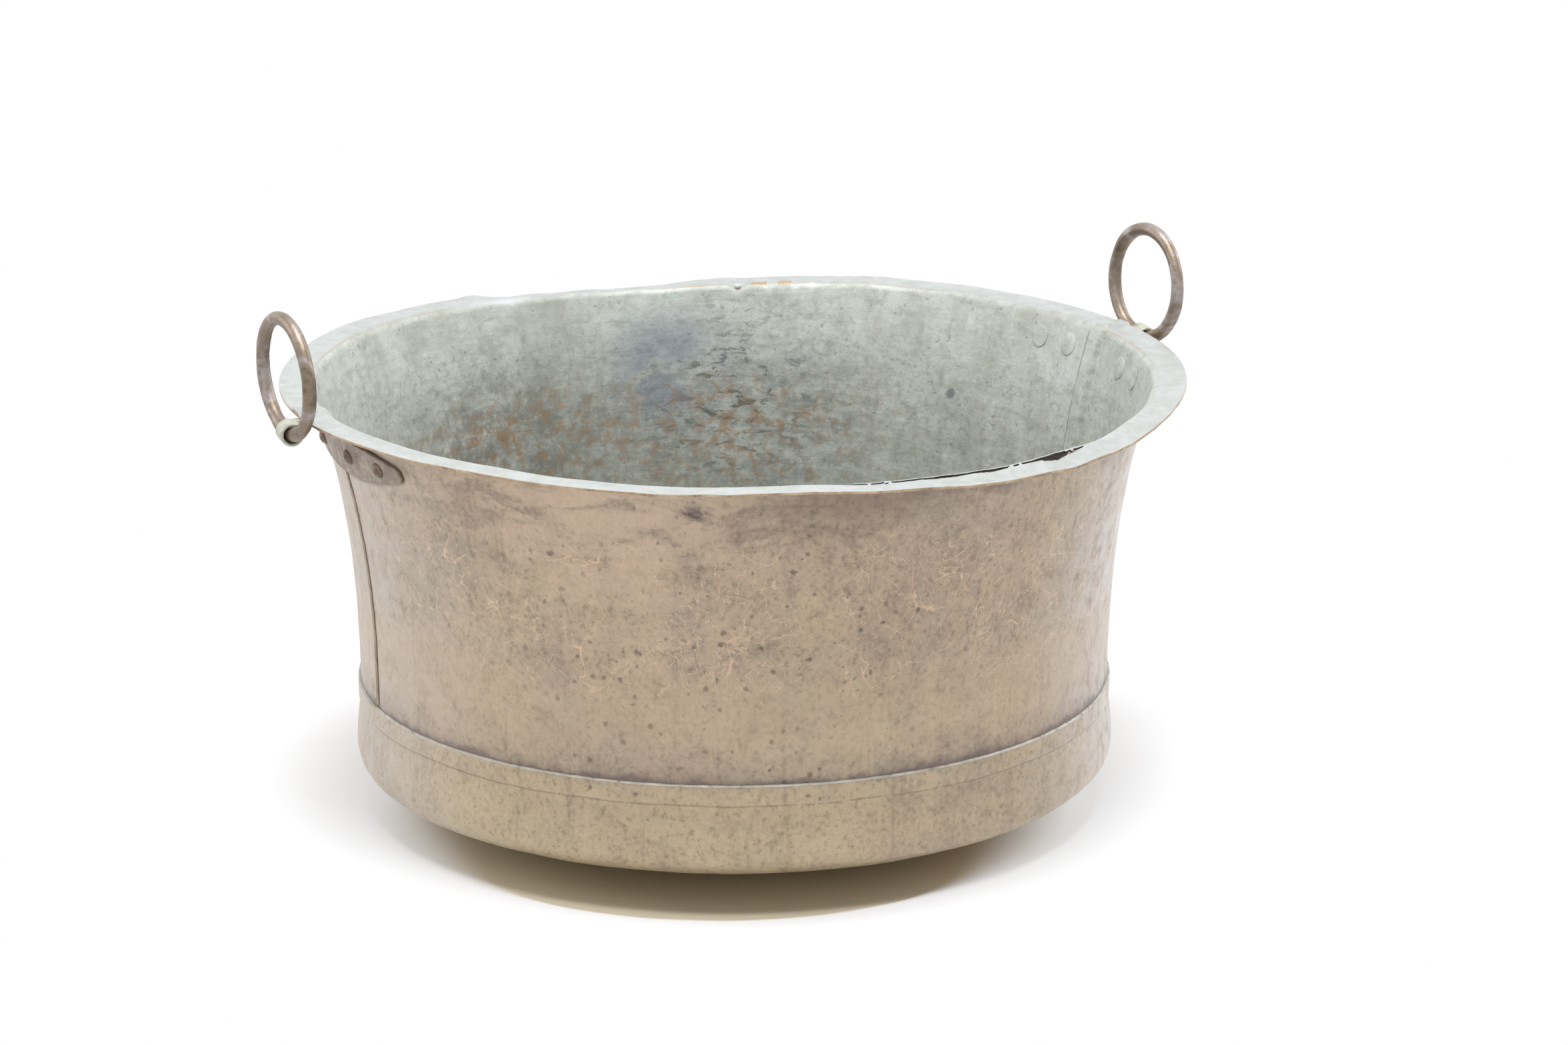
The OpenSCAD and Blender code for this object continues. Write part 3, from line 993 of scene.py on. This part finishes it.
# %% A class for shader sums
class Shade:
    """One value in a material's node tree. Sums with it add Math nodes."""

    def __init__(self, tree, socket):
        self.tree = tree
        self.socket = socket

    def node(self, kind, settings, inputs, output=0):
        """Adds one node, sets it, and then gives its sockets their values or links."""
        made = self.tree.nodes.new("ShaderNode" + kind)
        for name, value in settings.items():
            setattr(made, name, value)
        for name, value in inputs.items():
            if isinstance(value, Shade):
                self.tree.links.new(value.socket, made.inputs[name])
            else:
                made.inputs[name].default_value = value
        return Shade(self.tree, made.outputs[output])

    def math(self, operation, *values):
        return self.node("Math", {"operation": operation}, dict(enumerate(values)))

    def __add__(self, other):
        return self.math("ADD", self, other)

    def __sub__(self, other):
        return self.math("SUBTRACT", self, other)

    def __rsub__(self, other):
        return self.math("SUBTRACT", other, self)

    def __mul__(self, other):
        return self.math("MULTIPLY", self, other)

    __radd__ = __add__
    __rmul__ = __mul__


# %% Colours and washes
def plain(red, green, blue):
    """A colour as screens show it, from 0 to 255, turned into the values that light has."""
    shares = [value / 255 for value in (red, green, blue)]
    return [s / 12.92 if s <= 0.04045 else ((s + 0.055) / 1.055) ** 2.4 for s in shares] + [1]


def clouds(place, scale, detail=3, roughness=0.55, distortion=0):
    """Soft noise from 0 to 1. The scale counts its waves in one metre."""
    return place.node("TexNoise", {}, {"Vector": place, "Scale": scale, "Detail": detail,
                                       "Roughness": roughness, "Distortion": distortion})


def step(value, low, high):
    """0 below one value and 1 above the other, or the reverse where low is the higher."""
    return value.node("MapRange", {"interpolation_type": "SMOOTHSTEP"},
                      {"Value": value, "From Min": low, "From Max": high})


def mixed(share, first, second):
    """A colour between two others."""
    return share.node("Mix", {"data_type": "RGBA"}, {0: share, 6: first, 7: second}, 2)


def painted(colour, *marks):
    """Paints marks over a colour. Each has the share by which it covers, and its tone."""
    for share, tone in marks:
        colour = mixed(share, colour, plain(*tone))
    return colour


def washed(colour, *washes):
    """Lays washes over a colour. Each has a pattern, the value at which it is still 0 and the one
    at which it is full, the share by which it then covers, and its tone."""
    for pattern, low, high, share, tone in washes:
        colour = painted(colour, (step(pattern, low, high) * share, tone))
    return colour


# %% Places on the tub
def stretched(place, x, y, z):
    """The same place on axes that are scaled, so that a pattern becomes streaks."""
    return place.node("VectorMath", {"operation": "MULTIPLY"}, {0: place, 1: (x, y, z)})


def away(place, centre):
    """Distance from a spot on the tub."""
    return place.node("VectorMath", {"operation": "DISTANCE"}, {0: place, 1: centre}, "Value")


def near(place, centre, reach):
    """1 at a spot on the tub, falling to 0 at a distance."""
    return step(away(place, centre), reach, 0)


def along(place, axis):
    """One coordinate of the place."""
    return place.node("SeparateXYZ", {}, {"Vector": place}, axis)


def from_axis(place):
    """Distance from the tub's axis."""
    return place.node("VectorMath", {"operation": "LENGTH"}, {0: stretched(place, 1, 1, 0)}, "Value")


def off(value, middle):
    """How far a value is from its middle, to either side."""
    return value.math("ABSOLUTE", value - middle)


def beside(value, middle, half_width):
    """1 where a value is at its middle, 0 past a half width to either side."""
    return step(off(value, middle), half_width, half_width * 0.35)


def spots(place, scale, size, share):
    """Uneven spots, in a share of the cells of a Voronoi pattern, each with its own size."""
    wander = place.node("TexNoise", {}, {"Vector": place, "Scale": scale * 1.6, "Detail": 2}, "Color")
    stray = 0.5 / scale
    shift = {0: wander, 1: (stray, stray, stray), 2: place}
    cell = {"Vector": place.node("VectorMath", {"operation": "MULTIPLY_ADD"}, shift), "Scale": scale}
    distance = place.node("TexVoronoi", {}, cell, "Distance")
    cell_colour = place.node("TexVoronoi", {}, cell, "Color")
    own = place.node("SeparateColor", {}, {"Color": cell_colour}, "Red")
    own_size = step(own, 1 - share, 1) * size + 0.001
    return step(distance, own_size, own_size * 0.35) * step(own, 1 - share, 1 - share + 0.02)


# %% Start and end of a finish
def new_finish(name):
    """A material with its shader and the place on the tub."""
    made = bpy.data.materials.new(name)
    made.use_nodes = True
    tree = made.node_tree
    place = Shade(tree, tree.nodes.new("ShaderNodeTexCoord").outputs["Object"])
    print("finish", name)
    return made, tree.nodes["Principled BSDF"], place


def give(surface, socket, value):
    """Links a value to one of the shader's sockets, or sets a plain number on it."""
    if isinstance(value, Shade):
        value.tree.links.new(value.socket, surface.inputs[socket])
    else:
        surface.inputs[socket].default_value = value


def relief(height, depth):
    """Turns a height pattern into small bumps. The depth is in metres."""
    return height.node("Bump", {}, {"Height": height, "Distance": depth, "Strength": 1.0}, "Normal")


class Metal:
    """A place on old sheet metal, with its height and its noise patterns."""

    def __init__(self, place, broad, middle, mottle, strokes, runs):
        """Each pattern has its scale, detail, roughness and distortion. Before these, strokes and
        runs have the share by which heights are stretched, so that they lie flat or stand up."""
        self.place = place
        self.height = along(place, "Z")
        self.broad = clouds(place, *broad)
        self.middle = clouds(place, *middle)
        self.mottle = clouds(place, *mottle)
        self.grain = clouds(place, 230, 4, 0.7)
        self.strokes = clouds(stretched(place, 1, 1, strokes[0]), *strokes[1:])
        self.runs = clouds(stretched(place, 1, 1, runs[0]), *runs[1:])


# %% [markdown]
# Patina outside
#
# The outside is copper that has gone brown over many years. Broad clouds of gold, rose and grey
# brown lie over each other. On them come small dark pits, fine pale scratches that curl like hairs,
# faint runs from the rim, and a band of purple grey soot where the wall meets the collar. The pits
# are also a little lower and duller than the copper round them. Most marks are a short function
# that takes the colour so far and gives it back with the marks on it.
# Painted light is among them: shade under the lip and round the leaves, a highlight and reflections.

# %% Brown clouds
def brown_clouds(metal, tones, blotch):
    """Clouds of three browns, with lighter and darker blotches, strokes and runs on them."""
    gold, rose, grey = [plain(*tone) for tone in tones]
    colour = mixed(step(metal.broad, 0.35, 0.65), gold, rose)
    grey_cloud = step(clouds(metal.place, 8.5, 5, 0.65, 0.8), 0.44, 0.70)
    upper = step(metal.height + metal.broad * 0.08, 0.30, 0.40)
    return washed(mixed(grey_cloud * 0.6, colour, grey),
                  (metal.middle, 0.50, 0.72, 0.34 * blotch, (141, 122, 104)),
                  (metal.middle, 0.46, 0.26, 0.48 * blotch, (215, 190, 154)),
                  (metal.mottle, 0.48, 0.72, 0.55 * blotch, (132, 114, 98)),
                  (metal.mottle, 0.45, 0.26, 0.48 * blotch, (217, 195, 166)),
                  (metal.strokes, 0.47, 0.66, upper * 0.46 + 0.12, (125, 108, 97)),
                  (metal.strokes, 0.42, 0.26, upper * 0.5, (203, 174, 139)),
                  (metal.runs, 0.54, 0.74, 0.38, (125, 108, 93)),
                  (metal.runs, 0.44, 0.28, 0.32, (217, 192, 162)))


# %% Scratches and pits
scratch_h = 0.245
pit_place = (-0.135, -0.290, 0.230)


def scratches(metal, wear_and_shade):
    """Lines that curl like hairs, where three soft noises pass through their middle."""
    hair = (beside(clouds(metal.place, 19, 2, 0.5, 1.7), 0.5, 0.0075)
            + beside(clouds(metal.place, 33, 1, 0.4, 2.4), 0.47, 0.0090)
            + beside(clouds(metal.place, 12, 3, 0.5, 1.2), 0.52, 0.0050))
    band = step(off(metal.height, scratch_h), 0.085, 0.045)
    return hair * step(clouds(metal.place, 9, 2, 0.5), 0.30, 0.44) * band * wear_and_shade


def pitted(metal):
    """Pits in loose swarms, thickest at the front."""
    swarm = clouds(metal.place, 7, 3, 0.6) * 0.5 + near(metal.place, pit_place, 0.26) * 0.45
    return spots(metal.place, 105, 0.36, 0.75) * step(swarm, 0.26, 0.50)


# %% Marks on the wall, with painted shade, a painted highlight and painted reflections
smudge_place = (-0.166, -0.307, 0.343)
lip_shade_place = (-0.055, -0.335, 0.365)
dull_place = (-0.020, -0.325, 0.265)
rosy_highlight_place = (-0.225, -0.260, 0.335)
side_squash = 0.35
# Painted reflections: place, reach and tone of a paler upright band towards each side.
side_reflections = [((-0.322, 0.004, 0.22), 0.20, (202, 194, 184)),
              ((0.270, -0.180, 0.24), 0.21, (229, 227, 227))]


def wall_marks(colour, metal):
    """A smudge, painted shade under the lip, a dull part, a painted highlight in pinkish patches at the
    upper left, and painted reflections as paler upright bands towards both sides.
    """
    place = metal.place
    ragged = step(metal.mottle, 0.44, 0.56)
    smudge = near(place, smudge_place, 0.013) + near(place, smudge_place, 0.020) * ragged
    # Painted shade under the lip's overhang, and a painted highlight broken up by the strokes.
    lip_shade = near(place, lip_shade_place, 0.15) * step(metal.height + metal.mottle * 0.04, 0.320, 0.365)
    rosy_highlight = near(place, rosy_highlight_place, 0.20) * step(metal.strokes, 0.62, 0.42)
    colour = painted(colour, (smudge * 0.85, (64, 57, 56)),
                     (lip_shade * 0.50, (96, 82, 73)),
                     (near(place, dull_place, 0.20) * 0.12, (127, 114, 100)),
                     (rosy_highlight * 0.62, (214, 189, 167)))
    # Painted reflections: paler upright bands towards both sides, where the wall turns away.
    squashed = stretched(place, 1, 1, side_squash)
    for (x, y, z), reach, tone in side_reflections:
        band = near(squashed, (x, y, side_squash * z), reach) * step(metal.mottle, 0.85, 0.30)
        colour = painted(colour, (band * 0.9, tone))
    return colour


# %% Dirt beside the seams and painted shade round the brackets
def over_leaf(place, plate_h):
    """0 in the middle of a bracket's leaf, 1 along its outline, and more outside it."""
    y = along(place, "Y")
    past_tip = step(off(y, 0), plate_half_l - 0.002, plate_half_l + 0.003)
    return off(along(place, "Z"), plate_h) * (1 / plate_half_h) + y * y * (1 / plate_half_l ** 2) + past_tip


def seam_lines_and_leaf_shade(colour, metal, wear_and_shade):
    """Brown lines beside both seams, and painted shade in the corner round each bracket leaf."""
    x = along(metal.place, "X")
    y = along(metal.place, "Y")
    at_left = step(x, 0, -0.1)
    at_right = step(x, 0, 0.1)
    left_line = beside(y + metal.middle * 0.002, 0.0098, 0.0042) * at_left
    right_line = beside(y, 0.0035, 0.0040) * at_right
    # Painted shade: the wall is darkened in the corner round each bracket leaf.
    left_leaf = over_leaf(metal.place, left_plate_h + 0.0022) + at_right * 9
    right_leaf = over_leaf(metal.place, right_plate_h + 0.0054) + at_left * 9
    leaf = left_leaf.math("MINIMUM", left_leaf, right_leaf)
    return painted(colour, ((left_line + right_line) * 0.45 * wear_and_shade, (127, 106, 89)),
                   (step(leaf, 1.42, 1.08) * wear_and_shade * 1.2, (66, 54, 48)))


# %% Soot over the collar
pale_band_h = 0.165
crease_line_h = collar_low_h + 0.0005


def soot(colour, metal, wear_and_shade):
    """A line in the crease, a pale band with a darker one below it, and soot with a ragged edge."""
    height = metal.height
    ragged = clouds(metal.place, 26, 5, 0.65) * 0.030
    finer = clouds(metal.place, 34, 5, 0.65) * 0.026
    line = beside(height + metal.middle * 0.005, crease_line_h, 0.0013) * step(metal.mottle, 0.34, 0.46)
    return painted(colour, (line * (1 - wear_and_shade) * 0.4, (94, 78, 63)),
                   (beside(height, pale_band_h, 0.050) * wear_and_shade * 0.45, (212, 189, 159)),
                   (step(height + metal.middle * 0.03, pale_band_h, 0.125) * wear_and_shade * 0.35, (138, 121, 108)),
                   (step(height + ragged, 0.139, 0.124) * wear_and_shade * 0.45, (94, 77, 80)),
                   (step(height + finer, 0.1305, 0.1245) * wear_and_shade * 0.85, (84, 66, 72)))


# %% Patina
def patina(name, gold, rose, grey, wear_and_shade):
    """Brown copper. Its wear_and_shade, from 0 to 1, says how blotched, scratched and sooty it is,
    and how dark the painted shade round the bracket leaves is.
    """
    made, surface, place = new_finish(name)
    metal = Metal(place, (5, 4, 0.6), (17, 5, 0.65, 0.4), (58, 5, 0.7, 0.3),
                  (3.2, 12, 6, 0.68, 0.5), (0.06, 62, 4, 0.65))
    scratch = scratches(metal, wear_and_shade)
    pits = pitted(metal)
    small_pits = spots(place, 230, 0.32, 0.45)
    colour = brown_clouds(metal, (gold, rose, grey), 0.5 + 0.8 * wear_and_shade)
    colour = painted(colour, (scratch * 1.1, (231, 202, 172)),
                     (pits * 0.66, (90, 74, 66)),
                     (small_pits * 0.32, (94, 79, 69)))
    colour = washed(colour, (metal.grain, 0.50, 0.70, 0.45, (109, 92, 79)),
                    (metal.grain, 0.48, 0.30, 0.32, (224, 196, 167)))
    colour = soot(seam_lines_and_leaf_shade(wall_marks(colour, metal), metal, wear_and_shade), metal, wear_and_shade)
    give(surface, "Base Color", colour)
    give(surface, "Metallic", 0.55)
    give(surface, "Roughness", 0.46 + metal.grain * 0.12 + pits * 0.15 + metal.mottle * 0.06)
    give(surface, "Coat Weight", 0.6)
    give(surface, "Coat Roughness", 0.42)
    bumps = metal.mottle * 0.9 + metal.grain * 0.5 - pits * 0.8 - scratch * 0.25
    give(surface, "Normal", relief(bumps, 0.0004))
    return made


wall_patina = patina("wall_patina", (193, 175, 148), (191, 168, 146), (173, 162, 146), 0.62)
base_patina = patina("base_patina", (193, 175, 144), (191, 169, 142), (173, 160, 138), 0.0)

# %% [markdown]
# Tin inside
#
# The inside and the top of the lip are tinned. Tin goes grey green and dull, and water has left
# dark stains below the middle of the wall, a darkening that is partly painted shade. Where the
# tin is worn through, brown copper shows in small patches. The lip is smoother and of one soft
# grey, copper shows along the bend and at the scars, and a painted highlight lies on the bend at
# the back. Noise alone would spread all this evenly, so the marks are tied to places on the tub.

# %% Grey clouds
def grey_clouds(metal):
    """Clouds of two greys, with lighter and darker strokes, spots and runs on them."""
    colour = mixed(step(metal.broad, 0.35, 0.68), plain(202, 207, 202), plain(188, 193, 188))
    return washed(colour, (metal.middle, 0.44, 0.70, 0.48, (170, 172, 163)),
                  (metal.strokes, 0.49, 0.68, 0.50, (150, 153, 144)),
                  (metal.strokes, 0.44, 0.28, 0.50, (226, 228, 222)),
                  (metal.mottle, 0.50, 0.70, 0.45, (152, 155, 146)),
                  (metal.mottle, 0.44, 0.28, 0.40, (224, 227, 222)),
                  (metal.runs, 0.52, 0.72, 0.45, (163, 165, 158)),
                  (clouds(metal.place, 13, 5, 0.65, 0.6), 0.48, 0.66, 0.42, (168, 168, 155)))


# %% Water stains with painted shade low down, and flakes
dark_place = (0.140, 0.300, 0.255)
low_left_place = (-0.095, 0.315, 0.225)
flake_place = (0.125, 0.300, 0.262)
blue_place = (0.075, 0.325, 0.292)


def stained(colour, metal):
    """Dark water stains in the lower half that partly stand in as painted shade, speckles, flaking
    tin and one bluish place.
    """
    place = metal.place
    reach = 0.35 + near(place, dark_place, 0.22) * 0.9 + near(place, low_left_place, 0.16) * 0.9
    # Darkening of the lower half: partly water stains, partly painted shade deep in the tub.
    stain_and_shade = step(metal.height + metal.middle * 0.10 + metal.mottle * 0.05, 0.425, 0.335) * reach
    stain_and_shade = stain_and_shade.math("MINIMUM", stain_and_shade, 1)
    uneven = 0.30 + step(metal.strokes, 0.38, 0.60) * 0.28 + step(metal.mottle, 0.42, 0.62) * 0.24
    colour = painted(colour, (stain_and_shade * uneven, (134, 138, 134)))
    speckle = clouds(place, 150, 5, 0.75)
    speckle_share = 0.55 - 0.33 * step(metal.height, 0.30, 0.35)
    flakes = clouds(stretched(place, 1, 1, 2.4), 46, 5, 0.7, 0.6)
    flake_zone = near(place, flake_place, 0.14)
    colour = washed(colour, (speckle, 0.50, 0.66, speckle_share, (138, 140, 134)),
                    (speckle, 0.46, 0.32, 0.45, (204, 206, 198)),
                    (flakes, 0.53, 0.60, flake_zone * 0.90, (88, 92, 86)),
                    (flakes, 0.42, 0.36, flake_zone * 0.50, (196, 200, 192)))
    blue = near(place, blue_place, 0.080) * step(metal.middle, 0.34, 0.54)
    return painted(colour, (blue * 0.7, (122, 132, 150)))


# %% Worn places and small marks
spot_place = (0.287, 0.166, 0.281)
streak_place = (0.280, 0.176, 0.104)


def worn_through(colour, metal):
    """Murky tin at the left, and copper showing in small patches low on the wall."""
    place = metal.place
    zone = near(place, low_left_place, 0.19) + near(place, dark_place, 0.19) * 0.8 + 0.12
    zone = zone * step(metal.height + metal.middle * 0.05, 0.325, 0.280)
    murk = near(place, low_left_place, 0.17)
    return washed(colour, (clouds(place, 42, 5, 0.72), 0.44, 0.60, murk * 0.6, (108, 107, 95)),
                  (clouds(place, 85, 5, 0.72, 0.5), 0.47, 0.62, zone * 0.72, (152, 120, 84)),
                  (clouds(place, 88, 5, 0.75, 0.5), 0.56, 0.66, zone * 0.62, (178, 130, 80)))


def small_marks(colour, metal):
    """A dark spot with a faint streak below it, and the line along the inner seam."""
    place = metal.place
    spot = step(away(place, spot_place) + metal.mottle * 0.004, 0.0086, 0.0056)
    streak = near(stretched(place, 1, 1, 0.35), streak_place, 0.006)
    at_right = step(along(place, "X"), 0, 0.1)
    seam = beside(along(place, "Y") + metal.middle * 0.004, 0.0020, 0.0050) * at_right
    return painted(colour, (spot * 0.70, (88, 96, 104)),
                   (streak * 0.5, (110, 116, 118)),
                   (seam * step(metal.strokes, 0.38, 0.58) * 0.40, (122, 124, 116)))


# %% Lip
bend_r = 0.3552
bend_line_place = (0.110, 0.337, 0.358)
# Place of the painted highlight on the bend at the back.
crescent_highlight_place = (-0.080, 0.343, 0.358)


def lip_marks(colour, metal, radius, lip):
    """The paler lip, with copper along its bend and at its scars, a painted highlight on the bend at
    the back, and the notch.
    """
    place = metal.place
    rubbed = step(clouds(place, 70, 5, 0.7, 0.2), 0.35, 0.65)
    colour = mixed(lip * 0.85, colour, mixed(rubbed, plain(191, 195, 194), plain(178, 182, 180)))
    bend_share = near(place, bend_line_place, 0.045) + step(clouds(place, 15, 4, 0.6), 0.50, 0.60) * 0.55
    bend_line = beside(radius + metal.grain * 0.001, bend_r, 0.0012) * bend_share
    scar = metal.mottle * 0.5
    for angle, reach in scars:
        scar = scar + near(place, on_wall(angle, 0.3562, 0.3625), reach)
    scar = step(scar, 0.42, 0.58) * beside(radius + metal.grain * 0.002, 0.3574, 0.0042)
    # Painted highlight: a bright crescent on the bend at the back.
    crescent_highlight = beside(radius, 0.3545, 0.0042) * near(place, crescent_highlight_place, 0.050)
    notch = near(place, on_wall(notch_angle, bend_r, 0.3590), 0.0055)
    return painted(colour, (bend_line * 0.7, (178, 148, 118)),
                   (scar * 0.8, (180, 144, 112)),
                   (crescent_highlight * 0.8, (206, 210, 213)),
                   (notch, (74, 62, 50)))


# %% Tin
def tin(name):
    """Dull grey tin on copper."""
    made, surface, place = new_finish(name)
    metal = Metal(place, (6, 4, 0.6), (24, 5, 0.65, 0.5), (70, 5, 0.7, 0.3),
                  (4, 26, 6, 0.75), (0.08, 60, 4, 0.6))
    radius = from_axis(place)
    lip = step(radius, 0.3528, 0.3556)
    specks = spots(place, 130, 0.34, 0.40)
    colour = worn_through(stained(grey_clouds(metal), metal), metal)
    colour = lip_marks(small_marks(colour, metal), metal, radius, lip)
    colour = painted(colour, (specks * (1 - lip) * 0.42, (122, 125, 118)))
    give(surface, "Base Color", colour)
    give(surface, "Metallic", 0.25)
    give(surface, "Roughness", 0.50 + metal.middle * 0.16 - lip * 0.14)
    bumps = metal.grain * 0.4 + metal.strokes * 0.8 + metal.mottle * 0.8 - specks * 0.4
    give(surface, "Normal", relief(bumps, 0.0005))
    return made


wall_tin = tin("wall_tin")

# %% [markdown]
# Smaller finishes
#
# The cut edge of the lip is rubbed to bright copper. Solder is a dull pale grey, and browner along
# the outer seams. The brackets have brown leaves and pale tin on their curls, the rivets are darker,
# and the rings are brown bronze that hands have polished here and there. One recipe makes them all.

# %% Copper edge, solder, bracket, rivet and ring
def worn_metal(name, light, middle_tone, dark, scale, metallic, roughness):
    """A finish of three tones in clouds, with small dark specks and a fine grain."""
    made, surface, place = new_finish(name)
    tone = clouds(place, scale, 5, 0.65, 0.6)
    grain = clouds(place, scale * 6, 4, 0.7)
    specks = spots(place, scale * 5, 0.28, 0.35)
    colour = mixed(step(tone, 0.34, 0.52), plain(*light), plain(*middle_tone))
    colour = painted(colour, (step(tone, 0.52, 0.70), dark), (specks * 0.4, dark))
    give(surface, "Base Color", colour)
    give(surface, "Metallic", metallic)
    give(surface, "Roughness", roughness + grain * 0.16 - tone * 0.06)
    give(surface, "Normal", relief(grain + tone * 0.6 - specks * 0.4, 0.0003))
    return made


edge_copper = worn_metal("edge_copper", (212, 190, 160), (190, 164, 134), (142, 118, 96), 60, 0.4, 0.40)
# A dark brown for the crack's walls and the bend seen through the crack.
crack_dark = worn_metal("crack_dark", (80, 70, 60), (62, 54, 47), (44, 38, 34), 60, 0.1, 0.8)
solder = worn_metal("solder", (224, 221, 212), (206, 202, 192), (160, 150, 142), 70, 0.3, 0.45)
seam_finish = worn_metal("seam_solder", (176, 157, 136), (160, 141, 120), (132, 114, 97), 60, 0.4, 0.5)
seam_tin = worn_metal("seam_tin", (176, 180, 174), (152, 156, 150), (124, 128, 124), 60, 0.3, 0.5)
leaf_finish = worn_metal("leaf_copper", (178, 166, 150), (150, 136, 122), (112, 98, 86), 60, 0.4, 0.42)
curl_finish = worn_metal("curl_tin", (214, 217, 205), (192, 193, 178), (146, 136, 118), 70, 0.3, 0.42)
rivet_finish = worn_metal("rivet_copper", (158, 138, 120), (116, 98, 84), (70, 58, 50), 110, 0.5, 0.42)
ring_finish = worn_metal("ring_bronze", (176, 167, 166), (142, 127, 112), (104, 90, 72), 34, 0.5, 0.36)

# %% Put the finishes on
def dress(piece, body, node, slot, *finishes):
    """Gives a piece its finishes, and says what it rides on and stands for.
    Its slot, the name of what it is made of, is not used.
    """
    for number, finish in enumerate(finishes):
        if number < len(piece.data.materials):
            piece.data.materials[number] = finish
        else:
            piece.data.materials.append(finish)
    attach(piece, body)
    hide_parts(node)


dress(front_wall, "tub", "front_wall_sheet", "wall_copper", wall_patina, wall_tin, edge_copper, crack_dark)
dress(rear_wall, "tub", "rear_wall_sheet", "wall_copper", wall_patina, wall_tin, edge_copper, crack_dark)
dress(base, "tub", "base_pan", "base_copper", base_patina, wall_tin, solder)
dress(collar_solder, "tub", "base_seam_solder", "solder", solder)
dress(left_solder, "tub", "left_seam_solder", "solder", seam_finish, seam_tin)
dress(right_solder, "tub", "right_seam_solder", "solder", seam_finish, seam_tin)
dress(left_bracket, "tub", "left_bracket", "bracket", leaf_finish, curl_finish)
dress(right_bracket, "tub", "right_bracket", "bracket", leaf_finish, curl_finish)
dress(left_rivets, "tub", "left_bracket_rivets", "rivet", rivet_finish, wall_tin)
dress(right_rivets, "tub", "right_bracket_rivets", "rivet", rivet_finish, wall_tin)
dress(left_ring, "left_handle", "left_ring", "ring", ring_finish)
dress(right_ring, "right_handle", "right_ring", "ring", ring_finish)

# %% [markdown]
# Floor and light
#
# The tub stands on a white floor in even studio light. A large soft lamp above gives the metal a
# direction and the ground a shadow, and two weaker ones brighten its sides. The camera and mirror
# rays see a white world. They see the floor go over into the same white with distance, while the
# shadow near the tub stays. Under the tub a painted shadow darkens the floor's colour and warms it
# brown, as light bounced off the copper would.

# %% Two looks, by kind of ray
white = (1, 1, 1, 1)


def by_ray(tree, plain_look, seen_look):
    """Shows one shader to the camera and to mirror rays, and the other to the light itself."""
    outputs = tree.nodes.new("ShaderNodeLightPath").outputs
    share = Shade(tree, outputs["Is Camera Ray"])
    for ray in ("Is Glossy Ray", "Is Transmission Ray"):
        share = share.math("MAXIMUM", share, Shade(tree, outputs[ray]))
    both = share.node("MixShader", {}, {0: share, 1: plain_look, 2: seen_look})
    output = next(node for node in tree.nodes if node.type.startswith("OUTPUT"))
    tree.links.new(both.socket, output.inputs["Surface"])


# %% Floor
floor_size = 30
floor_grey = (0.80, 0.80, 0.80, 1)
cool_tone = (1.30, 1.33, 1.38, 1)
# Painted shadow: a darker warm brown for the floor in a patch under the tub.
shadow_tone = (0.92, 0.84, 0.66, 1)
shadow_place = (-0.0336, -0.0507, 0)
shadow_patch_r = 0.266
front_x = -0.395
front_y = -0.919
sharp_edge = 0.002
soft_edge = 0.045
shadow_r = 0.33
all_white_r = 0.62
near_white = 0.40

bpy.ops.mesh.primitive_grid_add(x_subdivisions=8, y_subdivisions=8, size=floor_size, location=(0, 0, 0))
floor = bpy.context.object
floor.name = "floor"
floor_finish, floor_shader, floor_place = new_finish("white_floor")
floor_tree = floor_finish.node_tree
floor_tree.nodes.remove(floor_shader)
distance = from_axis(floor_place)
# The painted shadow's patch has a sharp edge at the front and a soft one at the sides.
from_shadow_place = away(floor_place, shadow_place) + clouds(floor_place, 20, 3, 0.6) * 0.003
to_front = along(floor_place, "X") * front_x + along(floor_place, "Y") * front_y
edge_blur = step(to_front, 0.29, 0.12) * soft_edge + sharp_edge
painted_shadow = step(from_shadow_place, edge_blur + shadow_patch_r, shadow_patch_r - edge_blur)
floor_colour = mixed(painted_shadow, cool_tone, shadow_tone)
white_share = (1 - painted_shadow) * (near_white + step(distance, shadow_r, all_white_r) * (1 - near_white))
lit_floor = distance.node("BsdfDiffuse", {}, {"Color": floor_colour})
white_floor = distance.node("Emission", {}, {"Color": white, "Strength": 1.0})
seen_floor = distance.node("MixShader", {}, {0: white_share, 1: lit_floor, 2: white_floor})
by_ray(floor_tree, distance.node("BsdfDiffuse", {}, {"Color": floor_grey}), seen_floor)
floor.data.materials.append(floor_finish)
print("dusty patch is", 2 * shadow_patch_r, "across")

# %% Room
room_light = 0.30
world = bpy.data.worlds.new("white_room")
bpy.context.scene.world = world
world.use_nodes = True
room = world.node_tree.nodes["Background"]
room.inputs["Color"].default_value = white
room.inputs["Strength"].default_value = room_light
dim_room = Shade(world.node_tree, room.outputs[0])
white_room = dim_room.node("Background", {}, {"Color": white, "Strength": 1.0})
by_ray(world.node_tree, dim_room, white_room)
print("room gives light of", room_light)

# %% Lamps
lamp_size = 1.8
aim = Vector((0, 0, 0.2))
lamp_places = [((-0.2, -0.5, 3.0), 88), ((-2.5, 1.6, 1.5), 22), ((2.7, 0.2, 1.5), 22)]

for place, watts in lamp_places:
    bpy.ops.object.light_add(type="AREA", location=place)
    lamp = bpy.context.object
    lamp.data.shape = "DISK"
    lamp.data.size = lamp_size
    lamp.data.energy = watts
    lamp.rotation_euler = (Vector(place) - aim).to_track_quat("Z", "Y").to_euler()
    print("lamp of", watts, "watts at", place)
bpy.context.scene.view_settings.view_transform = "Standard"
